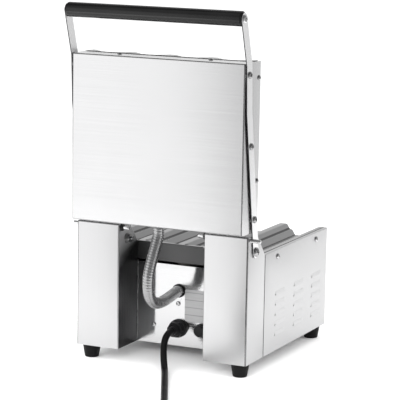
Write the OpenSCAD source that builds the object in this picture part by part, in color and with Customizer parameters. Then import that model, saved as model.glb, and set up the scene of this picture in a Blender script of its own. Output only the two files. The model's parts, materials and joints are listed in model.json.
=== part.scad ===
// Counter-top contact press with a hinged lid, lid standing open.
// Millimetres. +Z up, +Y to the rear, +X to the right seen from the front.
// The origin is on the counter, under the middle of the bounding box.

/* [Body] */
// Width of the body over the side panels
body_w = 254; // [252:1:256]
// Height of the rubber feet
foot_h = 18.5; // [16:0.5:20]
// Height of the side panels' top edge above the counter
panel_top = 159.5; // [159:0.5:160]
// Height of the rear pillars' top above the counter
pillar_top = 191.5; // [191:0.5:192]
// Width of each rear pillar
pillar_w = 63.5; // [60:0.5:66]
// Depth of each rear pillar
pillar_d = 57; // [56:0.5:58]
// Depth of the body from the pillars' rear face to the front
body_d = 280; // [279:1:284]
// Thickness of the stainless sheet
sheet = 1.2; // [1:0.1:1.4]

/* [Plates] */
// Pitch of the ridges
ridge_pitch = 60; // [59:0.5:60]
// Depth of the flutes below the ridge crests
flute_d = 18; // [17:0.5:18]
// Half width of each plate
plate_hw = 122; // [120:0.5:122]
// Height of the lower plate's crests above the counter
crest_z = 160; // [159.5:0.25:160]

/* [Lid] */
// Half width of the lid pan
lid_hw = 125.2; // [124.8:0.1:125.4]
// Height of the lid pan's lower edge, lid open
lid_z0 = 196; // [195:0.5:197]
// Height of the lid pan's upper edge, lid open
lid_z1 = 421; // [420:0.5:424]
// Lid pan's outer face behind the pillars' rear face, lid open
lid_y = 18.5; // [18:0.5:20]
// Radius of the lid pan's bent edges
lid_r = 3; // [2.5:0.5:4]

/* [Arms and handle] */
// Width of the flat arms
arm_w = 18; // [17:0.5:18]
// Thickness of the flat arms
arm_t = 2.5; // [2.5:0.25:3.25]
// Diameter of the handle grip
grip_d = 20; // [19:0.5:22]
// Diameter of the hinge bolts' shoulder
pivot_d = 8; // [7:0.5:8]
// Diameter of the stop pins
stop_d = 6; // [5:0.5:6]

/* [Controls] */
// Diameter of the thermostat knob
knob_d = 46; // [40:1:50]
// Tilt of the rocker from its middle
rocker_tilt = 8; // [4:1:8]

/* [Hose and cord] */
// Outside diameter of the flexible conduit
hose_d = 15.6; // [15:0.2:15.8]
// Outside diameter of the power cord
cord_d = 9.2; // [9:0.1:9.3]
// Diameter of the cord coil at the middle of its turns
coil_d = 110; // [106:1:112]

/* [Hidden] */
$fn = 64;
// the pillars' rear face in the part's frame
rear_y = 131.5;
hw = body_w / 2;
px0 = hw - pillar_w;             // pillars' inner face
hinge = [-23, 169];              // hinge axis, y and z
lid_crest_y = -31;               // upper plate's crests, lid open
plate_z0 = crest_z - flute_d - 7.5;
arm_x0 = hw + 0.4;
arm_x1 = arm_x0 + arm_t;
grip = [28.5, 479.5];            // handle axis, y and z
arm_pts = [hinge, [6.5, 356], [9.5, 419], grip];
stop = [-7.6, 186.4];            // stop pin axis, y and z
arm_screw_z = [213.5, 312, 406];
louvre_y = [-96, -161, -225];
louvre_z = [96.4, 82.3, 68.2, 54.1, 40];
louvre_l = 33;
side_screws_yz = [[-100.5, 149.5], [-238.5, 149.5]];
lid_screws_z = [263.5, 399.5];
foot_xy = [for (x = [-112, 112], y = [-16, -264]) [x, y]];
knob_xz = [66, 62];
switch_xz = [-66, 62];
lamp_xz = [[-22, 62], [14, 62]];
gland_xz = [0, 43.5];
cap_xz = [-35, 44.5];
hose_z = 96;
hose_lid_y = 7.5;
tray_hw = 100;
floor_c = cord_d / 2 + 0.1;
coil_c = [-92, 305];
back_screws_xz = [[0.5, 78], [37.5, 45]];

// ---------- helpers ----------
// places geometry measured from the pillars' rear face
module P() { translate([0, rear_y, 0]) children(); }
module both() { children(); mirror([1, 0, 0]) children(); }
// extrudes a y-z outline along +X
module yz(h) { rotate([90, 0, 90]) linear_extrude(h) children(); }
// cylinder along +X from x0 to x1
module cx(x0, x1, y, z, r) { translate([x0, y, z]) rotate([0, 90, 0]) cylinder(r = r, h = x1 - x0); }
// cylinder along +Y from y0 to y1
module cy(y0, y1, x, z, r) { translate([x, y0, z]) rotate([-90, 0, 0]) cylinder(r = r, h = y1 - y0); }
module box(a, b) { translate(a) cube([b[0] - a[0], b[1] - a[1], b[2] - a[2]]); }
// outline of a flat bar of width w along a centre line, mitred at its bends and round at its ends
function dir2(a, b) = (b - a) / norm(b - a);
function left_of(d) = [-d[1], d[0]];
function mitre(p, i) =
  let (a = left_of(dir2(p[i - 1], p[i])), b = left_of(dir2(p[i], p[i + 1])), m = (a + b) / norm(a + b)) m / (m * a);
module bar(p, w) {
  m = len(p) - 1;
  d0 = dir2(p[0], p[1]);
  d1 = dir2(p[m - 1], p[m]);
  polygon(concat(
    [for (i = [1:m - 1]) p[i] + mitre(p, i) * w / 2],
    [for (k = [0:24]) p[m] + w / 2 * (cos(k * 7.5) * left_of(d1) + sin(k * 7.5) * d1)],
    [for (i = [m - 1:-1:1]) p[i] - mitre(p, i) * w / 2],
    [for (k = [0:24]) p[0] - w / 2 * (cos(k * 7.5) * left_of(d0) + sin(k * 7.5) * d0)]));
}
module rsq(x, y, r) {
  translate([-x / 2 + r, -y / 2]) square([x - 2 * r, y]);
  translate([-x / 2, -y / 2 + r]) square([x, y - 2 * r]);
  for (sx = [-1, 1], sy = [-1, 1]) translate([sx * (x / 2 - r), sy * (y / 2 - r)]) circle(r);
}
// pan-head screw along +X, head outside x, shank inside
module pan_x(x, y, z, hr, hh, sr, sl) {
  translate([x, y, z]) rotate([0, 90, 0]) rotate_extrude()
    polygon([[0, -sl], [sr, -sl], [sr, 0], [hr, 0], [hr, hh * 0.35], [hr * 0.8, hh * 0.8], [hr * 0.45, hh], [0, hh]]);
}
module pan_y(x, y, z, hr, hh, sr, sl) {
  translate([x, y, z]) rotate([-90, 0, 0]) rotate_extrude()
    polygon([[0, -sl], [sr, -sl], [sr, 0], [hr, 0], [hr, hh * 0.35], [hr * 0.8, hh * 0.8], [hr * 0.45, hh], [0, hh]]);
}
// point on an arm's centre line at height z
function arm_y(z) =
  z < arm_pts[1][1] ? lookup(z, [[arm_pts[0][1], arm_pts[0][0]], [arm_pts[1][1], arm_pts[1][0]]]) :
  lookup(z, [[arm_pts[1][1], arm_pts[1][0]], [arm_pts[2][1], arm_pts[2][0]], [arm_pts[3][1], arm_pts[3][0]]]);

// stepped flute outline: lateral distance from the ridge and depth below its crest
half = [[6, 0], [10, -7], [14, -7.7], [19, -15.7], [24.5, -15], [28, -flute_d]];
function ridge(c) = concat(
  [for (i = [len(half) - 1:-1:0]) [c - half[i][0], half[i][1]]],
  [for (p = half) [c + p[0], p[1]]]);
module flutes(back) {
  intersection() {
    polygon(concat(
      [for (i = [-2:2]) each ridge(i * ridge_pitch)],
      [[2 * ridge_pitch + 40, -flute_d], [2 * ridge_pitch + 40, -back], [-2 * ridge_pitch - 40, -back], [-2 * ridge_pitch - 40, -flute_d]]));
    translate([-plate_hw, -back - 1]) square([2 * plate_hw, back + 2]);
  }
}

// tube swept along a list of points; ref is never along the route
function unit(v) = v / norm(v);
function tangent(p, i) = unit(p[min(i + 1, len(p) - 1)] - p[max(i - 1, 0)]);
module tube(p, r, n, ref) {
  m = len(p);
  pts = [for (i = [0:m - 1]) let (t = tangent(p, i), u = unit(cross(t, ref)), v = cross(t, u))
    for (k = [0:n - 1]) p[i] + r * (cos(360 * k / n) * u + sin(360 * k / n) * v)];
  faces = concat(
    [[for (k = [0:n - 1]) k]],
    [for (i = [0:m - 2], k = [0:n - 1]) [i * n + k, (i + 1) * n + k, (i + 1) * n + (k + 1) % n, i * n + (k + 1) % n]],
    [[for (k = [n - 1:-1:0]) (m - 1) * n + k]]);
  polyhedron(points = pts, faces = faces, convexity = 6);
}
function bez(a, b, c, d, t) = pow(1 - t, 3) * a + 3 * t * pow(1 - t, 2) * b + 3 * t * t * (1 - t) * c + pow(t, 3) * d;
// the hose swings a little to the right and rises into the lid
hose_a = [[0, -53, 96], [0, -33, 96], [8, 26, 67], [5, 26.5, 128]];
hose_b = [[5, 26.5, 128], [4.2, 26.6, 145], [0, hose_lid_y, 179], [0, hose_lid_y, 186]];
hose_route = concat(
  [[0, -57, 96]],
  [for (i = [0:11]) bez(hose_a[0], hose_a[1], hose_a[2], hose_a[3], i / 12)],
  [for (i = [0:8]) bez(hose_b[0], hose_b[1], hose_b[2], hose_b[3], i / 8)],
  [[0, hose_lid_y, 191], [0, hose_lid_y, 195.5]]);
// the cord leaves the gland, comes down to the counter and runs to the coil
cord_a = [[0, -34, 43.5], [0, 0, 43.5], [-9, 2, floor_c], [-24, 32, floor_c]];
cord_b = [[-24, 32, floor_c], [-44, 72, floor_c], [-119, 226, floor_c], [-145, 278, floor_c]];
cord_route = concat(
  [[0, -52, 43.5]],
  [for (i = [0:9]) bez(cord_a[0], cord_a[1], cord_a[2], cord_a[3], i / 10)],
  [for (i = [0:12]) bez(cord_b[0], cord_b[1], cord_b[2], cord_b[3], i / 12)]);

// ---------- body ----------
module bottom_plate() {
  color("silver") P() difference() {
    box([-hw + sheet + 0.2, -body_d + sheet + 0.2, foot_h], [hw - sheet - 0.2, -pillar_d - sheet - 0.2, foot_h + 1.5]);
    for (p = foot_xy) translate([p[0], p[1], foot_h - 1]) cylinder(r = 2.6, h = 4);
    for (i = [-3:3]) translate([i * 18, -200, foot_h - 1]) linear_extrude(4) rsq(5, 50, 2.4);
  }
}

module side_panel() {
  difference() {
    union() {
      box([hw - sheet, -body_d, foot_h], [hw, -pillar_d - 0.15, panel_top]);
      // folded top edge
      box([plate_hw + 0.5, -body_d, panel_top - sheet], [hw, -pillar_d - 0.15, panel_top]);
      // folded front edge
      box([hw - 12, -body_d, foot_h + 2], [hw, -body_d + sheet, panel_top - 30]);
    }
    for (y = louvre_y, z = louvre_z) box([hw - 3, y - louvre_l + 1, z], [hw + 1, y - 1, z + 3.4]);
    for (s = side_screws_yz) cx(hw - 4, hw + 1, s[0], s[1], 2.6);
  }
  for (y = louvre_y, z = louvre_z) {
    translate([hw, y, z]) hood();
  }
}
module hood() {
  // hood section in x-z, drawn along -Y, with closed cheeks
  rotate([90, 0, 0]) linear_extrude(louvre_l) polygon([[-0.05, 5], [2.2, 0.5], [2.2, 0], [1.5, 0], [-0.05, 3.4]]);
  for (y = [0, -louvre_l + 1]) translate([0, y, 0]) rotate([90, 0, 0]) linear_extrude(1) polygon([[-0.05, 5], [2.2, 0.5], [2.2, 0], [-0.05, 0]]);
}
module side_panel_left() { color("gainsboro") P() mirror([1, 0, 0]) side_panel(); }
module side_panel_right() { color("gainsboro") P() side_panel(); }

module front_panel() {
  color("gainsboro") P() difference() {
    box([-hw + 12.2, -body_d, foot_h], [hw - 12.2, -body_d + sheet, 100.5]);
    cy(-body_d - 1, -body_d + 3, knob_xz[0], knob_xz[1], 5.1);
    for (l = lamp_xz) cy(-body_d - 1, -body_d + 3, l[0], l[1], 4.1);
    box([switch_xz[0] - 7.2, -body_d - 1, switch_xz[1] - 12.2], [switch_xz[0] + 7.2, -body_d + 3, switch_xz[1] + 12.2]);
  }
}
module back_panel() {
  color("gainsboro") P() difference() {
    box([-px0 + 0.1, -pillar_d - sheet, foot_h], [px0 - 0.1, -pillar_d, 131.5]);
    cy(-pillar_d - 3, -pillar_d + 1, 0, hose_z, 8.1);
    cy(-pillar_d - 3, -pillar_d + 1, gland_xz[0], gland_xz[1], 7.1);
    cy(-pillar_d - 3, -pillar_d + 1, cap_xz[0], cap_xz[1], 6.1);
    for (s = back_screws_xz) cy(-pillar_d - 3, -pillar_d + 1, s[0], s[1], 1.8);
  }
}
module pillar() {
  difference() {
    translate([px0, 0, 0]) yz(pillar_w) polygon([[0, foot_h], [0, pillar_top], [-30, pillar_top], [-pillar_d, panel_top], [-pillar_d, foot_h]]);
    translate([px0 + sheet, 0, 0]) yz(pillar_w - 2 * sheet)
      polygon([[-sheet, foot_h + 1.5], [-sheet, pillar_top - sheet], [-29.4, pillar_top - sheet], [-pillar_d + 0.9, panel_top - sheet + 0.4], [-pillar_d - 1, panel_top - sheet + 0.4], [-pillar_d - 1, foot_h + 1.5]]);
    for (p = foot_xy) translate([p[0], p[1], foot_h - 1]) cylinder(r = 2.6, h = 4);
    cx(px0 - 1, hw + 1, hinge[0], hinge[1], pivot_d / 2 + 0.1);
    cx(px0 - 1, hw + 1, stop[0], stop[1], stop_d / 2 + 0.05);
  }
}
module pillar_left() { color("whitesmoke") P() mirror([1, 0, 0]) pillar(); }
module pillar_right() { color("whitesmoke") P() pillar(); }

module feet() {
  color("black") P() for (p = foot_xy) translate([p[0], p[1], 0]) difference() {
    rotate_extrude() polygon([[0, 0], [9, 0], [9.7, 0.7], [12.8, foot_h - 1], [12.8, foot_h], [0, foot_h]]);
    translate([0, 0, -1]) cylinder(r = 5, h = 7);
    translate([0, 0, 5]) cylinder(r = 2.6, h = 20);
  }
}
module foot_screws() {
  color("silver") P() for (p = foot_xy) translate([p[0], p[1], 0]) {
    translate([0, 0, 2.5]) cylinder(r = 4.5, h = 3.5);
    translate([0, 0, 6]) cylinder(r = 2.5, h = foot_h + 1.5 - 6);
    translate([0, 0, foot_h + 1.5]) cylinder(r = 4.6, h = 4, $fn = 6);
  }
}
module side_screws() {
  color("silver") P() both() for (s = side_screws_yz) pan_x(hw, s[0], s[1], 4, 2.2, 2.4, hw - plate_hw + 7);
}
module back_screws() {
  color("silver") P() for (s = back_screws_xz) pan_y(s[0], -pillar_d, s[1], 3.2, 2, 1.7, 8);
}

// ---------- lower plate and heater ----------
module lower_plate() {
  color("dimgray") P() difference() {
    union() {
      translate([0, -pillar_d - 6, crest_z]) rotate([90, 0, 0]) linear_extrude(body_d - 3 - pillar_d - 6) flutes(crest_z - plate_z0);
      // rear wall
      box([-plate_hw, -pillar_d - 6.5, plate_z0], [plate_hw, -pillar_d - 0.5, crest_z]);
    }
    both() for (s = side_screws_yz) cx(plate_hw - 9, plate_hw + 1, s[0], s[1], 2.45);
  }
}
// serpentine heater in the x-y plane, tube radius 4
module serpent(y_front, y_rear, tail) {
  for (x = [-75, 75]) cy(y_front, y_rear + tail, x, 0, 4);
  for (x = [-25, 25]) cy(y_front, y_rear, x, 0, 4);
  for (x = [-50, 50]) translate([x, y_front, 0]) rotate([0, 0, 180]) rotate_extrude(angle = 180) translate([25, 0]) circle(4);
  translate([0, y_rear, 0]) rotate_extrude(angle = 180) translate([25, 0]) circle(4);
}
module lower_element() { color("darkgray") P() translate([0, 0, plate_z0 - 4.3]) serpent(-198, -98, 28); }
module lower_clamp_plate() {
  color("silver") P() box([-105, -232, plate_z0 - 10], [105, -64, plate_z0 - 8.8]);
}
module lower_insulation() {
  color("beige") P() box([-112, -233, plate_z0 - 26], [112, -62, plate_z0 - 10.4]);
}
module thermostat() {
  color("ivory") P() difference() {
    union() {
      box([knob_xz[0] - 18, -body_d + 8, knob_xz[1] - 20], [knob_xz[0] + 18, -body_d + 34, knob_xz[1] + 20]);
      cy(-body_d + sheet - 1, -body_d + 8, knob_xz[0], knob_xz[1], 5);
    }
    cy(-body_d - 2, -body_d + 24, knob_xz[0], knob_xz[1], 3.05);
  }
}
module sensor_bulb() {
  z = plate_z0 - 4.3;
  zt = knob_xz[1] + 15;
  color("peru") P() {
    cy(-180, -110, 0, z, 3);
    cy(-236, -180, 0, z, 1);
    translate([0, -236, z]) sphere(r = 1);
    cx(0, 50, -236, z, 1);
    translate([50, -236, z]) sphere(r = 1);
    translate([50, -236, zt]) cylinder(r = 1, h = z - zt);
    translate([50, -236, zt]) sphere(r = 1);
    cy(-body_d + 34, -236, 50, zt, 1);
  }
}
module thermostat_shaft() {
  color("silver") P() cy(-body_d - 14, -body_d + 20, knob_xz[0], knob_xz[1], 3);
}
module thermostat_knob() {
  color("black") P() translate([knob_xz[0], -body_d - 0.6, knob_xz[1]]) rotate([90, 0, 0]) difference() {
    union() {
      cylinder(r = knob_d / 2, h = 5);
      cylinder(r = knob_d / 2 - 3, h = 8);
      intersection() {
        cylinder(r = knob_d / 2 - 3, h = 21);
        translate([-6.5, -knob_d, 0]) cube([13, 2 * knob_d, 21]);
      }
    }
    translate([0, 0, -1]) cylinder(r = 3.03, h = 14.4);
    translate([-0.9, knob_d / 2 - 12, 20]) cube([1.8, 7, 2]);
  }
}
module knob_pointer() {
  color("white") P() translate([knob_xz[0], -body_d - 0.6, knob_xz[1]]) rotate([90, 0, 0])
    translate([-0.9, knob_d / 2 - 12, 20]) cube([1.8, 7, 0.9]);
}
module switch_housing() {
  color("black") P() translate([switch_xz[0], -body_d, switch_xz[1]]) difference() {
    union() {
      box([-8.5, -2, -13.5], [8.5, 0, 13.5]);
      box([-7, -0.5, -12], [7, 22, 12]);
    }
    box([-6, -3, -10], [6, 12, 10]);
    cx(-6, 6, 2, 0, 10.2);
  }
}
module switch_rocker() {
  color("darkred") P() translate([switch_xz[0], -body_d + 2, switch_xz[1]]) rotate([rocker_tilt, 0, 0]) intersection() {
    cx(-5.7, 5.7, 0, 0, 9.6);
    translate([-5.7, 0, 0]) yz(11.4) polygon([[5, -11], [5, 11], [-7.4, 11], [-5, 0], [-7.4, -11]]);
  }
}
module lamp(x, z) {
  P() translate([x, -body_d, z]) rotate([90, 0, 0]) rotate_extrude()
    polygon([[0, -18], [4, -18], [4, 0], [6, 0], [6, 1.5], [4.8, 2], [4.2, 4], [2.6, 5.2], [0, 5.6]]);
}
module lamp_power() { color("limegreen") lamp(lamp_xz[0][0], lamp_xz[0][1]); }
module lamp_heat() { color("orange") lamp(lamp_xz[1][0], lamp_xz[1][1]); }
module terminal_block() {
  color("ivory") P() difference() {
    box([-32, -110, foot_h + 1.5], [32, -90, foot_h + 21]);
    for (i = [-2:2]) {
      translate([i * 12, -100, foot_h + 12]) cylinder(r = 3, h = 12);
      cy(-112, -88, i * 12, foot_h + 9, 2.4);
    }
  }
}
module tray_runners() {
  color("silver") P() both() {
    box([tray_hw + 0.6, -body_d + sheet + 0.2, 102], [tray_hw + 1.8, -242, 122]);
    box([tray_hw - 8, -body_d + sheet + 0.2, 101.2], [hw - sheet - 0.2, -242, 102.2]);
  }
}
module drip_tray() {
  color("silver") P() difference() {
    union() {
      box([-tray_hw, -281, 102.6], [tray_hw, -242.5, 124]);
      // front plate and finger lip
      box([-hw + 12.6, -281.6, 101.2], [hw - 12.6, -280.4, 133]);
      box([-45, -294, 131.8], [45, -281, 133]);
    }
    box([-tray_hw + 1, -280.4, 103.8], [tray_hw - 1, -243.5, 140]);
  }
}

// ---------- hinge hardware ----------
module pivot_bolts() {
  color("lightgray") P() both() {
    cx(53, arm_x1 + 0.3, hinge[0], hinge[1], pivot_d / 2);
    translate([arm_x1 + 0.2, hinge[0], hinge[1]]) rotate([0, 90, 0]) rotate_extrude()
      polygon([[0, 0], [7.3, 0], [7.3, 1], [6, 2.5], [3.5, 3.3], [0, 3.5]]);
  }
}
module pivot_washers() {
  color("lightgray") P() both() difference() {
    cx(hw + 0.02, arm_x0 - 0.02, hinge[0], hinge[1], 8.2);
    cx(hw - 1, arm_x0 + 1, hinge[0], hinge[1], pivot_d / 2 + 0.1);
  }
}
module pivot_nuts() {
  color("gray") P() both() difference() {
    union() {
      translate([px0 - 6.6, hinge[0], hinge[1]]) rotate([0, 90, 0]) cylinder(r = 7.5, h = 5.4, $fn = 6);
      cx(px0 - 1.2, px0 - 0.02, hinge[0], hinge[1], 8.2);
    }
    cx(px0 - 10, px0 + 1, hinge[0], hinge[1], pivot_d / 2 + 0.02);
  }
}
module stop_pins() {
  color("white") P() both() {
    cx(px0 - 6, hw + 14, stop[0], stop[1], stop_d / 2);
    translate([hw + 14, stop[0], stop[1]]) rotate([0, 90, 0]) rotate_extrude() polygon([[0, 0], [stop_d / 2, 0], [stop_d / 2 - 0.8, 0.8], [0, 0.8]]);
  }
}
module stop_pin_caps() {
  color("black") P() both() difference() {
    cx(px0 - 12.4, px0 - 0.05, stop[0], stop[1], stop_d / 2 + 1);
    cx(px0 - 6, px0 + 1, stop[0], stop[1], stop_d / 2 + 0.02);
  }
}
module rating_plate() {
  color("gainsboro") P() box([-58, -pillar_d + 0.02, 54.5], [-9.5, -pillar_d + 0.6, 99]);
}
module reset_cap() {
  color("black") P() translate([cap_xz[0], -pillar_d, cap_xz[1]]) rotate([-90, 0, 0]) rotate_extrude()
    polygon([[0, -12], [6, -12], [6, 0], [9.3, 0], [9.3, 3], [7.8, 4], [7.4, 9], [6.4, 10], [0, 10]]);
}

// ---------- hose and cord ----------
module cable_gland() {
  color("black") P() translate([gland_xz[0], -pillar_d, gland_xz[1]]) rotate([-90, 0, 0]) rotate_extrude()
    polygon([[cord_d / 2 + 0.1, -9], [7, -9], [7, 0], [12, 0], [12, 5], [11, 6.5], [10.6, 11], [8.6, 14], [7.4, 17], [6.2, 22.9], [cord_d / 2 + 0.1, 22.9]]);
}
module hose_grommet() {
  color("black") P() translate([0, -pillar_d, hose_z]) rotate([-90, 0, 0]) rotate_extrude()
    polygon([[6, -7], [8, -7], [8, 0.05], [9.4, 0.05], [9.4, 2], [8.9, 2.6], [hose_d / 2 + 0.3, 2.6], [hose_d / 2 + 0.3, -0.2], [6, -0.2]]);
}
module hose() { color("silver") P() tube(hose_route, hose_d / 2, 12, [1, 0, 0]); }
module power_cord() { color("black") P() tube(cord_route, cord_d / 2, 10, [0, 0, 1]); }
module cord_coil() {
  color("black") P() translate([coil_c[0], coil_c[1], 0]) rotate_extrude()
    translate([coil_d / 2 - cord_d - 0.2, 0.1]) square([2 * cord_d + 0.4, 2 * cord_d + 0.2]);
}
// plug lying on the counter beside the coil, pins to +X
plug_c = [-66, coil_c[1] + coil_d / 2 + cord_d / 2 + 0.1, 14];
module plug_body() {
  color("black") P() translate(plug_c) rotate([0, 90, 0]) difference() {
    rotate_extrude() polygon([[0, 0], [5.6, 0], [7.2, 30], [10, 34], [12.6, 42], [13.6, 50], [13.6, 68], [12.8, 70], [0, 70]]);
    for (a = [-6.35, 6.35]) translate([-4 - 3.2, a - 0.8, 62]) cube([6.4, 1.6, 10]);
    translate([7.9, 0, 62]) cylinder(r = 2.4, h = 10);
  }
}
module plug_pins() {
  color("lightgray") P() translate(plug_c) rotate([0, 90, 0]) {
    for (a = [-6.35, 6.35]) translate([-4 - 3.15, a - 0.75, 62]) cube([6.3, 1.5, 26]);
    translate([7.9, 0, 62]) {
      cylinder(r = 2.35, h = 27);
      translate([0, 0, 27]) rotate_extrude() polygon([[0, 0], [2.35, 0], [1.2, 1.6], [0, 1.8]]);
    }
  }
}

// ---------- lid ----------
module lid_cover() {
  d = 48.5;
  color("whitesmoke") P() difference() {
    union() {
      // wrapped rear face and sides
      translate([0, 0, lid_z0]) linear_extrude(lid_z1 - lid_z0) difference() {
        translate([0, lid_y - 50]) rsq(2 * lid_hw, 100, lid_r);
        translate([0, lid_y - 50]) rsq(2 * (lid_hw - sheet), 100 - 2 * sheet, lid_r - sheet);
        translate([-200, lid_y - 200 - d]) square([400, 200]);
      }
      // skirts
      for (z = [lid_z0, lid_z1 - sheet]) translate([0, 0, z]) linear_extrude(sheet) intersection() {
        translate([0, lid_y - 50]) rsq(2 * lid_hw - 0.8, 100 - 0.8, lid_r - 0.4);
        translate([-200, -12]) square([400, 60]);
      }
    }
    // lower front corners clear the pillars when the lid closes
    translate([-200, 0, 0]) yz(400) polygon([[-12.2, lid_z0 - 1], [-12.2, lid_z0 + 0.6], [-30.2, lid_z0 + 10], [-60, lid_z0 + 10], [-60, lid_z0 - 1]]);
    translate([0, hose_lid_y, lid_z0 - 1]) cylinder(r = 8.6, h = 4);
    both() for (z = lid_screws_z) cx(lid_hw - 4, lid_hw + 1, -25, z, 2.1);
    both() for (z = arm_screw_z) cx(lid_hw - 4, lid_hw + 1, arm_y(z), z, 2.5);
  }
}
module upper_plate() {
  z0 = 206;
  color("dimgray") P() difference() {
    union() {
      translate([0, lid_crest_y, z0]) linear_extrude(lid_z1 + 0.6 - z0) mirror([0, 1]) flutes(25.5);
      box([-plate_hw, lid_crest_y, z0], [plate_hw, lid_crest_y + 25.5, z0 + 6]);
    }
    both() for (z = lid_screws_z) cx(plate_hw - 9, plate_hw + 1, -25, z, 2.05);
    // rebate under the lid's top skirt
    box([-plate_hw - 1, -12.3, lid_z1 - sheet - 0.2], [plate_hw + 1, 0, lid_z1 + 2]);
  }
}
module upper_element() {
  color("darkgray") P() translate([0, -1.2, 0]) rotate([90, 0, 0]) mirror([0, 0, 1]) serpent(254, 372, 28);
}
module upper_clamp_plate() { color("silver") P() box([-105, 3.2, 214], [105, 4.2, 408]); }
module upper_insulation() { color("beige") P() box([-116, 4.6, 204], [116, 16.8, 412]); }
module lid_screws() {
  color("silver") P() {
    both() for (z = lid_screws_z) pan_x(lid_hw, -25, z, 3.4, 2, 2, lid_hw - plate_hw + 7);
    // two small screws in the top skirt
    for (x = [-67, 67]) translate([x, -4, lid_z1 + 0.02]) rotate_extrude() polygon([[0, 0], [3, 0], [3, 0.8], [2, 1.6], [0, 1.9]]);
  }
}
module hose_ferrule_lid() {
  color("silver") P() translate([0, hose_lid_y, lid_z0]) rotate_extrude()
    polygon([[8.2, 6], [8.5, 6], [8.5, -0.1], [10.6, -0.1], [10.6, -4], [9.4, -5], [9.4, -8], [hose_d / 2 + 0.4, -8], [hose_d / 2 + 0.4, 4], [8.2, 4]]);
}
module arm() {
  difference() {
    translate([arm_x0, 0, 0]) yz(arm_t) bar(arm_pts, arm_w);
    cx(arm_x0 - 1, arm_x1 + 1, hinge[0], hinge[1], pivot_d / 2 + 0.05);
    cx(arm_x0 - 1, arm_x1 + 1, grip[0], grip[1], 3);
    for (z = arm_screw_z) cx(arm_x0 - 1, arm_x1 + 1, arm_y(z), z, 2.5);
  }
}
module arm_left() { color("whitesmoke") P() mirror([1, 0, 0]) arm(); }
module arm_right() { color("whitesmoke") P() arm(); }
module arm_spacers() {
  color("silver") P() both() for (z = arm_screw_z) difference() {
    cx(lid_hw + 0.02, arm_x0 - 0.02, arm_y(z), z, 6);
    cx(lid_hw - 1, arm_x0 + 1, arm_y(z), z, 2.5);
  }
}
module arm_screws() {
  color("silver") P() both() for (z = arm_screw_z) {
    pan_x(arm_x1, arm_y(z), z, 4.4, 2.4, 2.4, arm_x1 - lid_hw + sheet + 1);
  }
}
module handle_grip() {
  color("black") P() difference() {
    translate([0, grip[0], grip[1]]) rotate([0, 90, 0]) rotate_extrude()
      polygon([[5.05, -arm_x0 + 0.1], [grip_d / 2 - 1, -arm_x0 + 0.1], [grip_d / 2, -arm_x0 + 1.1], [grip_d / 2, arm_x0 - 1.1], [grip_d / 2 - 1, arm_x0 - 0.1], [5.05, arm_x0 - 0.1]]);
  }
}
module handle_rod() {
  color("silver") P() difference() {
    cx(-arm_x0 + 0.05, arm_x0 - 0.05, grip[0], grip[1], 5);
    both() cx(arm_x0 - 20, arm_x0 + 1, grip[0], grip[1], 2.95);
  }
}
module handle_screws() {
  color("silver") P() both() pan_x(arm_x1, grip[0], grip[1], 5.6, 2.8, 2.9, arm_t + 14);
}

bottom_plate();
side_panel_left();
side_panel_right();
front_panel();
back_panel();
pillar_left();
pillar_right();
feet();
foot_screws();
side_screws();
back_screws();
lower_plate();
lower_element();
lower_clamp_plate();
lower_insulation();
thermostat();
sensor_bulb();
thermostat_shaft();
thermostat_knob();
knob_pointer();
switch_housing();
switch_rocker();
lamp_power();
lamp_heat();
terminal_block();
tray_runners();
drip_tray();
pivot_bolts();
pivot_washers();
pivot_nuts();
stop_pins();
stop_pin_caps();
rating_plate();
reset_cap();
cable_gland();
hose_grommet();
hose();
power_cord();
cord_coil();
plug_body();
plug_pins();
lid_cover();
upper_plate();
upper_element();
upper_clamp_plate();
upper_insulation();
lid_screws();
hose_ferrule_lid();
arm_left();
arm_right();
arm_spacers();
arm_screws();
handle_grip();
handle_rod();
handle_screws();
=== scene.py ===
import bpy
import bmesh
import json
import math
from mathutils import Matrix, Vector

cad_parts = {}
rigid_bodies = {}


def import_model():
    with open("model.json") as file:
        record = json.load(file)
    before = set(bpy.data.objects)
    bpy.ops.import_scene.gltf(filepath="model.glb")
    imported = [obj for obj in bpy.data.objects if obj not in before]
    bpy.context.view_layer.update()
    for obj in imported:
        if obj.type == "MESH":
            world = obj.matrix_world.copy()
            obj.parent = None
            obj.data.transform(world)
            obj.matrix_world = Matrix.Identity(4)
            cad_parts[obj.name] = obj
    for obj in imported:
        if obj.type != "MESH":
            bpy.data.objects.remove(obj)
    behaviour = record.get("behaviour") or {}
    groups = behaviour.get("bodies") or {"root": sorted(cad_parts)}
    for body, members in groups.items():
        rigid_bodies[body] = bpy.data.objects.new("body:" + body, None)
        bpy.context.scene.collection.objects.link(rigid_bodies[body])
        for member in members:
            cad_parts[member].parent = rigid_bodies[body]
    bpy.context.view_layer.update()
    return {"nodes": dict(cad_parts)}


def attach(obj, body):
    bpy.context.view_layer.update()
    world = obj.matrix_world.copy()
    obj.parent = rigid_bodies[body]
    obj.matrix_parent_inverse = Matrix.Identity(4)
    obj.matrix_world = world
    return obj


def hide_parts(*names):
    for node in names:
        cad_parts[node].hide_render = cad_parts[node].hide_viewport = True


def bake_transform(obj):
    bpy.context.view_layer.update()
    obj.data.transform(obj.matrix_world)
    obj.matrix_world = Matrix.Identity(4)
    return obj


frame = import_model()
node = frame["nodes"]
scene = bpy.context.scene

# The geometry below is written in millimetres with y measured from the rear pillars' rear face, as the part's own drawing does.
RY = 131.5


def P(x, y, z):
    return Vector((x / 1000.0, (y + RY) / 1000.0, z / 1000.0))


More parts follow.
